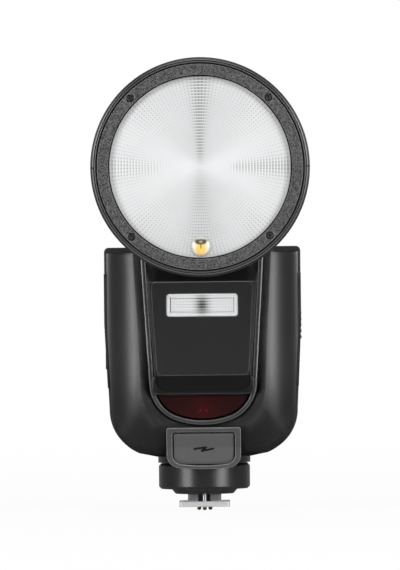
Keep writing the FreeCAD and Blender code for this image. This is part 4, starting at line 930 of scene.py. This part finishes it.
def prism_pattern():
    # a painted reflection of what the rows of prisms show of the bowl: rings of dots, a dark wedge
    # of bars above the middle, a second one to the right, and two bright lobes of painted
    # highlight beside the middle
    group, wires, x, y, z = pattern("prism_pattern", "Light", "Groove")
    do = wires.do
    radius = wires.far(x, z)
    angle = do("ARCTAN2", z, x)
    ring = do("SINE", do("MULTIPLY", radius, 2 * math.pi / groove_pitch))
    ray = do("SINE", do("MULTIPLY", angle, dots_round))
    dots = do("MULTIPLY", do("MAXIMUM", ring, 0.0), do("MAXIMUM", ray, 0.0))
    outer = wires.add("ShaderNodeMath", {
        0: do("MULTIPLY", radius, dots_rise), 1: 1.0, 2: 0.2,
    }, operation="SMOOTH_MIN")[0]
    # the dots stand out in fans, and are faint between them
    fans = do("MULTIPLY", do("COSINE", do("MULTIPLY", angle, fans_round)), fan_depth)
    fans = do("ADD", fans, fan_level)
    speck = do("MULTIPLY", do("MULTIPLY", dots, do("MULTIPLY", outer, fans)), -1)
    lines = do("MULTIPLY", ring, line_depth)
    # painted shade in the sectors above and below, painted light in those at the sides
    sides = do("COSINE", do("MULTIPLY", angle, 2))
    sector = do("MULTIPLY", do("MULTIPLY", sides, sector_depth), level_out(wires, radius, 90))
    near = do("MULTIPLY", wires.fall(do("MULTIPLY", radius, lobe_fall)), lobe_depth)
    lobe = do("MULTIPLY", do("MULTIPLY", near, level_out(wires, radius, 200)), sides)

    def wedge(along, side, spread, start, bars, dark):
        # bars that widen away from the middle along one direction
        aside = do("DIVIDE", side, do("ADD", do("MULTIPLY", along, spread), wedge_foot))
        bell = wires.fall(do("MULTIPLY", do("MULTIPLY", aside, aside), -1))
        gate = wires.ramp(along, start, start + wedge_gate, 0.0, 1.0, "SMOOTHSTEP")
        wave = do("SINE", do("MULTIPLY", along, 2 * math.pi / groove_pitch))
        shade = do("ADD", do("MULTIPLY", wave, bars), dark)
        return do("MULTIPLY", do("MULTIPLY", bell, gate), shade)

    # each wedge's spread, its start, the depth of its bars and its darkness
    upper = wedge(z, x, 0.08, 0.0, 0.26, 0.2)
    right = wedge(x, z, 0.075, 0.009, 0.26, 0.17)
    left = wedge(do("MULTIPLY", x, -1), z, 0.12, 0.012, 0.12, 0.06)
    lower = wedge(do("MULTIPLY", z, -1), x, 0.22, 0.002, 0.06, 0.1)
    wedges = do("ADD", do("ADD", upper, right), do("ADD", left, lower))
    spot = wires.add("ShaderNodeTexCoord")["Object"]
    cloud = wires.add("ShaderNodeTexNoise", {
        "Vector": spot, "Scale": cloud_scale, "Detail": 3.0,
    })["Fac"]
    drift = do("MULTIPLY", do("SUBTRACT", cloud, 0.5), cloud_depth)
    light = do("ADD", do("ADD", do("ADD", speck, lines), sector), do("ADD", lobe, drift))
    light = do("SUBTRACT", do("ADD", light, prism_level), wedges)
    wires.add("NodeGroupOutput", {"Light": light, "Groove": ring})
    return group


lens_prisms = bpy.data.materials.new("lens_prisms")
lens_prisms.use_nodes = True
wires, shader = opened(lens_prisms)
shader["Roughness"].default_value = 0.35
shader["Specular IOR Level"].default_value = 0.5
prisms = laid(wires, prism_pattern(), lens_middle.z)
wires.feed(wires.blend(prisms["Light"], lens_dark, lens_bright), shader["Base Color"])
grooved = wires.add("ShaderNodeBump", {"Distance": 0.00001, "Height": prisms["Groove"]})
wires.feed(grooved["Normal"], shader["Normal"])

clear_selection()
bpy.ops.mesh.primitive_circle_add(
    vertices=160, radius=lens_radius, fill_type="NGON",
    location=(lens_middle.x, lens_high.y, lens_middle.z), rotation=(math.pi / 2, 0, 0),
)
lens = bpy.context.object
bpy.ops.object.mode_set(mode="EDIT")
bpy.ops.mesh.select_all(action="SELECT")
thickness = lens_high.y - lens_low.y - groove_rise
bpy.ops.mesh.extrude_region_move(TRANSFORM_OT_translate={"value": (0, -thickness, 0)})
bpy.ops.mesh.inset(thickness=lens_border)
rings = int((lens_radius - lens_border) / groove_pitch) - 1
for number in range(rings):
    bpy.ops.mesh.inset(thickness=groove_pitch * 0.8, depth=groove_rise)
    bpy.ops.mesh.inset(thickness=groove_pitch * 0.2, depth=-groove_rise)
bpy.ops.mesh.select_all(action="SELECT")
bpy.ops.mesh.normals_make_consistent(inside=False)
bpy.ops.object.mode_set(mode="OBJECT")
settle(lens, "prism_lens", lens_prisms, "head")
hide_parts("fresnel_lens")


# Modelling lamp: a clear bulb-shaped dome, 7.3 mm across, that stands out at the foot of the
# lens. Inside lie a warm yellow diode, cream sides and a dark cap at the top with a painted glint.
dome_low, dome_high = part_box("led_dome")
dome_middle = (dome_low + dome_high) / 2
dome_radius = (dome_high.x - dome_low.x) / 2
dome_stand = lens_face - dome_low.y
cream = (0.78, 0.66, 0.44, 1)
# each part of the lamp: its height, half width, half height and softness, then its tone
lamp_parts = {
    "Core": ((-0.0014, 0.0016, 0.0028, 0.35), (0.82, 0.54, 0.15, 1)),
    "Stem": ((0.0006, 0.00035, 0.0014, 0.4), (0.4, 0.26, 0.06, 1)),
    "Rim": ((-0.0002, 0.0029, 0.0031, 0.1), (0.58, 0.58, 0.55, 1)),
    "Cap": ((0.0018, 0.0023, 0.0011, 0.3), (0.09, 0.085, 0.06, 1)),
    "Painted Glint": ((0.0017, 0.0006, 0.0004, 0.5), (0.35, 0.3, 0.22, 1)),
}


def lamp_inside():
    # where the diode, the cap with its painted glint and the clear rim lie, seen from the front
    group, wires, x, y, z = pattern("lamp_inside", *lamp_parts)
    do = wires.do
    masks = {}
    for part, ((height, half_width, half_height, soft), tone) in lamp_parts.items():
        wide = do("DIVIDE", x, half_width)
        tall = do("DIVIDE", do("SUBTRACT", z, height), half_height)
        far = wires.far(wide, tall)
        masks[part] = wires.ramp(far, 1.0 - soft, 1.0 + soft, 1.0, 0.0, "SMOOTHSTEP")
    masks["Rim"] = do("SUBTRACT", 1.0, masks["Rim"])
    wires.add("NodeGroupOutput", masks)
    return group


lamp_dome = bpy.data.materials.new("lamp_dome")
lamp_dome.use_nodes = True
wires, shader = opened(lamp_dome)
shader["Roughness"].default_value = 0.08
shader["Coat Weight"].default_value = 0.6
inside = laid(wires, lamp_inside(), dome_middle.z)
colour = cream
for part, (shape, tone) in lamp_parts.items():
    colour = wires.blend(inside[part], colour, tone)
wires.feed(colour, shader["Base Color"])

clear_selection()
bpy.ops.mesh.primitive_uv_sphere_add(
    segments=48, ring_count=24, radius=1, rotation=(math.pi / 2, 0, 0),
    location=(dome_middle.x, lens_face, dome_middle.z),
    scale=(dome_radius, dome_radius, dome_stand),
)
bpy.ops.object.shade_smooth()
dome = settle(bpy.context.object, "lamp_bulb", lamp_dome, "head")
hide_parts("led_dome")


# Inside the head: a bright bowl and a glass tube on a carriage, which a small motor moves along
# two rods with a lead screw, and the modelling lamp's board.
board_green = plastic(
    "board_green", (0.02, 0.09, 0.035), grain=700.0, speckle=0.03, roughness=0.35,
)
dress(mirror_metal, "reflector")
dress(tube_clear, "flash_tube")
dress(inner_black, "zoom_bulkhead", "zoom_carriage")
dress(steel, "zoom_motor", "lead_screw", "guide_rods")
dress(board_green, "led_board")


# Turret: a turning base moulded in black plastic, let into the top of the body, with two cheeks
# that carry the head on a steel axle.
dress(body_black, "turret")
dress(steel, "tilt_axle")


# Battery: a black pack that slides out of a sleeve in the side, closed by its own cap with five
# shallow grip ribs and a grey release.
key_rubber = plastic(
    "key_rubber", (0.03, 0.03, 0.032), grain=2200.0, speckle=0.01, roughness=0.6, spec=0.35,
)
dress(body_black, "battery_cap")
dress(inner_black, "battery_case", "battery_sleeve")
dress(key_rubber, "battery_release")
grip_count = 5
grip_pitch = 0.0022
grip_height = 0.0011
grip_stand = 0.00012
grip_sink = 0.0006
grip_half = 0.008
grip_below_top = 0.0135
grip_round = 0.0004
cap_low, cap_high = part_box("battery_cap")
grip_middle = (cap_low + cap_high) / 2
for number in range(grip_count):
    foot = cap_high.z - grip_below_top - (number + 1) * grip_pitch
    moulded_block(
        "grip_rib_%d" % (number + 1), (cap_high.x - grip_sink, grip_middle.y - grip_half, foot),
        (cap_high.x + grip_stand, grip_middle.y + grip_half, foot + grip_height), grip_round,
        body_black, "battery", 0,
    )


# Port covers: two soft rubber doors on the other side, over the sync jack and the charging
# socket. Each has a small finger lip at its front edge.
rubber_black = plastic(
    "rubber_black", (0.02, 0.02, 0.02), grain=1800.0, speckle=0.006, roughness=0.7, relief=0.00004,
    spec=0.3,
)
dress(rubber_black, "sync_cover", "usb_cover")
dress(inner_black, "port_panel", "sync_jack")
dress(steel, "usb_socket")
finger_half = 0.004
finger_front, finger_back = 0.0042, 0.003
for door in ("sync_cover", "usb_cover"):
    low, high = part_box(door)
    middle = (low + high) / 2
    moulded_block(
        door + "_lip", (low.x - grip_stand, high.y - finger_front, middle.z - finger_half),
        (low.x + grip_sink, high.y - finger_back, middle.z + finger_half), grip_round,
        rubber_black, door, 0,
    )


# Back: a display under a gloss plate, four keys below it, and a toothed dial round a set button
# with a mode key, a menu key, a test button and a power switch. Plain pale marks are printed.
dress(key_rubber, "function_key_1", "function_key_2", "function_key_3", "function_key_4",
      "mode_key", "menu_key", "set_button", "power_switch")
dress(ring_black, "dial_ring")
test_grey = plastic(
    "test_grey", (0.09, 0.09, 0.09), grain=1800.0, speckle=0.01, roughness=0.4, relief=0.00002,
    spec=0.5,
)
dress(test_grey, "test_button")
display_dark = plastic(
    "display_dark", (0.03, 0.034, 0.03), grain=500.0, roughness=0.15, relief=0.000003, spec=0.5,
)
dress(display_dark, "display_module")
print_white = plastic(
    "print_white", (0.62, 0.62, 0.6), grain=900.0, speckle=0.01, relief=0.000005, spec=0.3,
    edge=0.0,
)
print_stand = 0.00006
mark_deep = 0.0002
mark_pitch = 0.0011


def mark_bar(name, node, across, up, width, height, body, material=print_white):
    # one printed bar on the back face of a key, measured from the key's middle
    low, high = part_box(node)
    middle = (low + high) / 2
    moulded_block(
        name, (middle.x + across - width / 2, high.y - mark_deep, middle.z + up - height / 2),
        (middle.x + across + width / 2, high.y + print_stand, middle.z + up + height / 2),
        min(width, height) * 0.3, material, body, 1, 2,
    )


for number in range(4):
    key = "function_key_%d" % (number + 1)
    mark_bar("mark_" + key, key, 0.0, 0.0, 0.0032, 0.0005, "key_%d" % (number + 1))
for number in range(3):
    up = (number - 1) * mark_pitch
    mark_bar("mark_menu_%d" % (number + 1), "menu_key", 0.0, up, 0.003, 0.0004, "menu_key")
mark_bar("mark_mode_1", "mode_key", -0.0008, 0.0, 0.0005, 0.0028, "mode_key")
mark_bar("mark_mode_2", "mode_key", 0.0008, 0.0, 0.0005, 0.0028, "mode_key")
mark_bar("mark_set", "set_button", 0.0, 0.0, 0.0036, 0.0005, "set_key")
for number in range(3):
    name = "switch_ridge_%d" % (number + 1)
    across = (number - 1) * mark_pitch
    mark_bar(name, "power_switch", across, 0.0, 0.0005, 0.0022, "switch", key_rubber)


# Display face: the lit area shows through the gloss plate as a slightly paler grey field inside
# a black border, as a display does when it is off.
face_low, face_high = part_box("display_window")
face_middle = (face_low + face_high) / 2
field_width = 0.0365
field_height = 0.0245
border_black = (0.006, 0.006, 0.007, 1)
field_grey = (0.035, 0.042, 0.04, 1)


def screen_field():
    group, wires, x, y, z = pattern("screen_field", "Field")
    wide = wires.do("LESS_THAN", wires.do("ABSOLUTE", x), field_width / 2)
    tall = wires.do("LESS_THAN", wires.do("ABSOLUTE", z), field_height / 2)
    wires.add("NodeGroupOutput", {"Field": wires.do("MULTIPLY", wide, tall)})
    return group


screen_plate = plastic(
    "screen_plate", (0.008, 0.008, 0.009), grain=300.0, speckle=0.0, roughness=0.1,
    relief=0.000002, spec=0.5,
)
wires, shader = opened(screen_plate)
field = laid(wires, screen_field(), face_middle.z)["Field"]
wires.feed(wires.blend(field, border_black, field_grey), shader["Base Color"])
dress(screen_plate, "display_window")


# Boards: the main board, a green circuit board inside the body, and the large black capacitor
# can that is seated against it and stores the flash's charge.
can_black = plastic(
    "can_black", (0.01, 0.011, 0.016), grain=700.0, speckle=0.003, roughness=0.3, relief=0.00001,
    spec=0.6,
)
dress(board_green, "main_board")
dress(can_black, "main_capacitor")
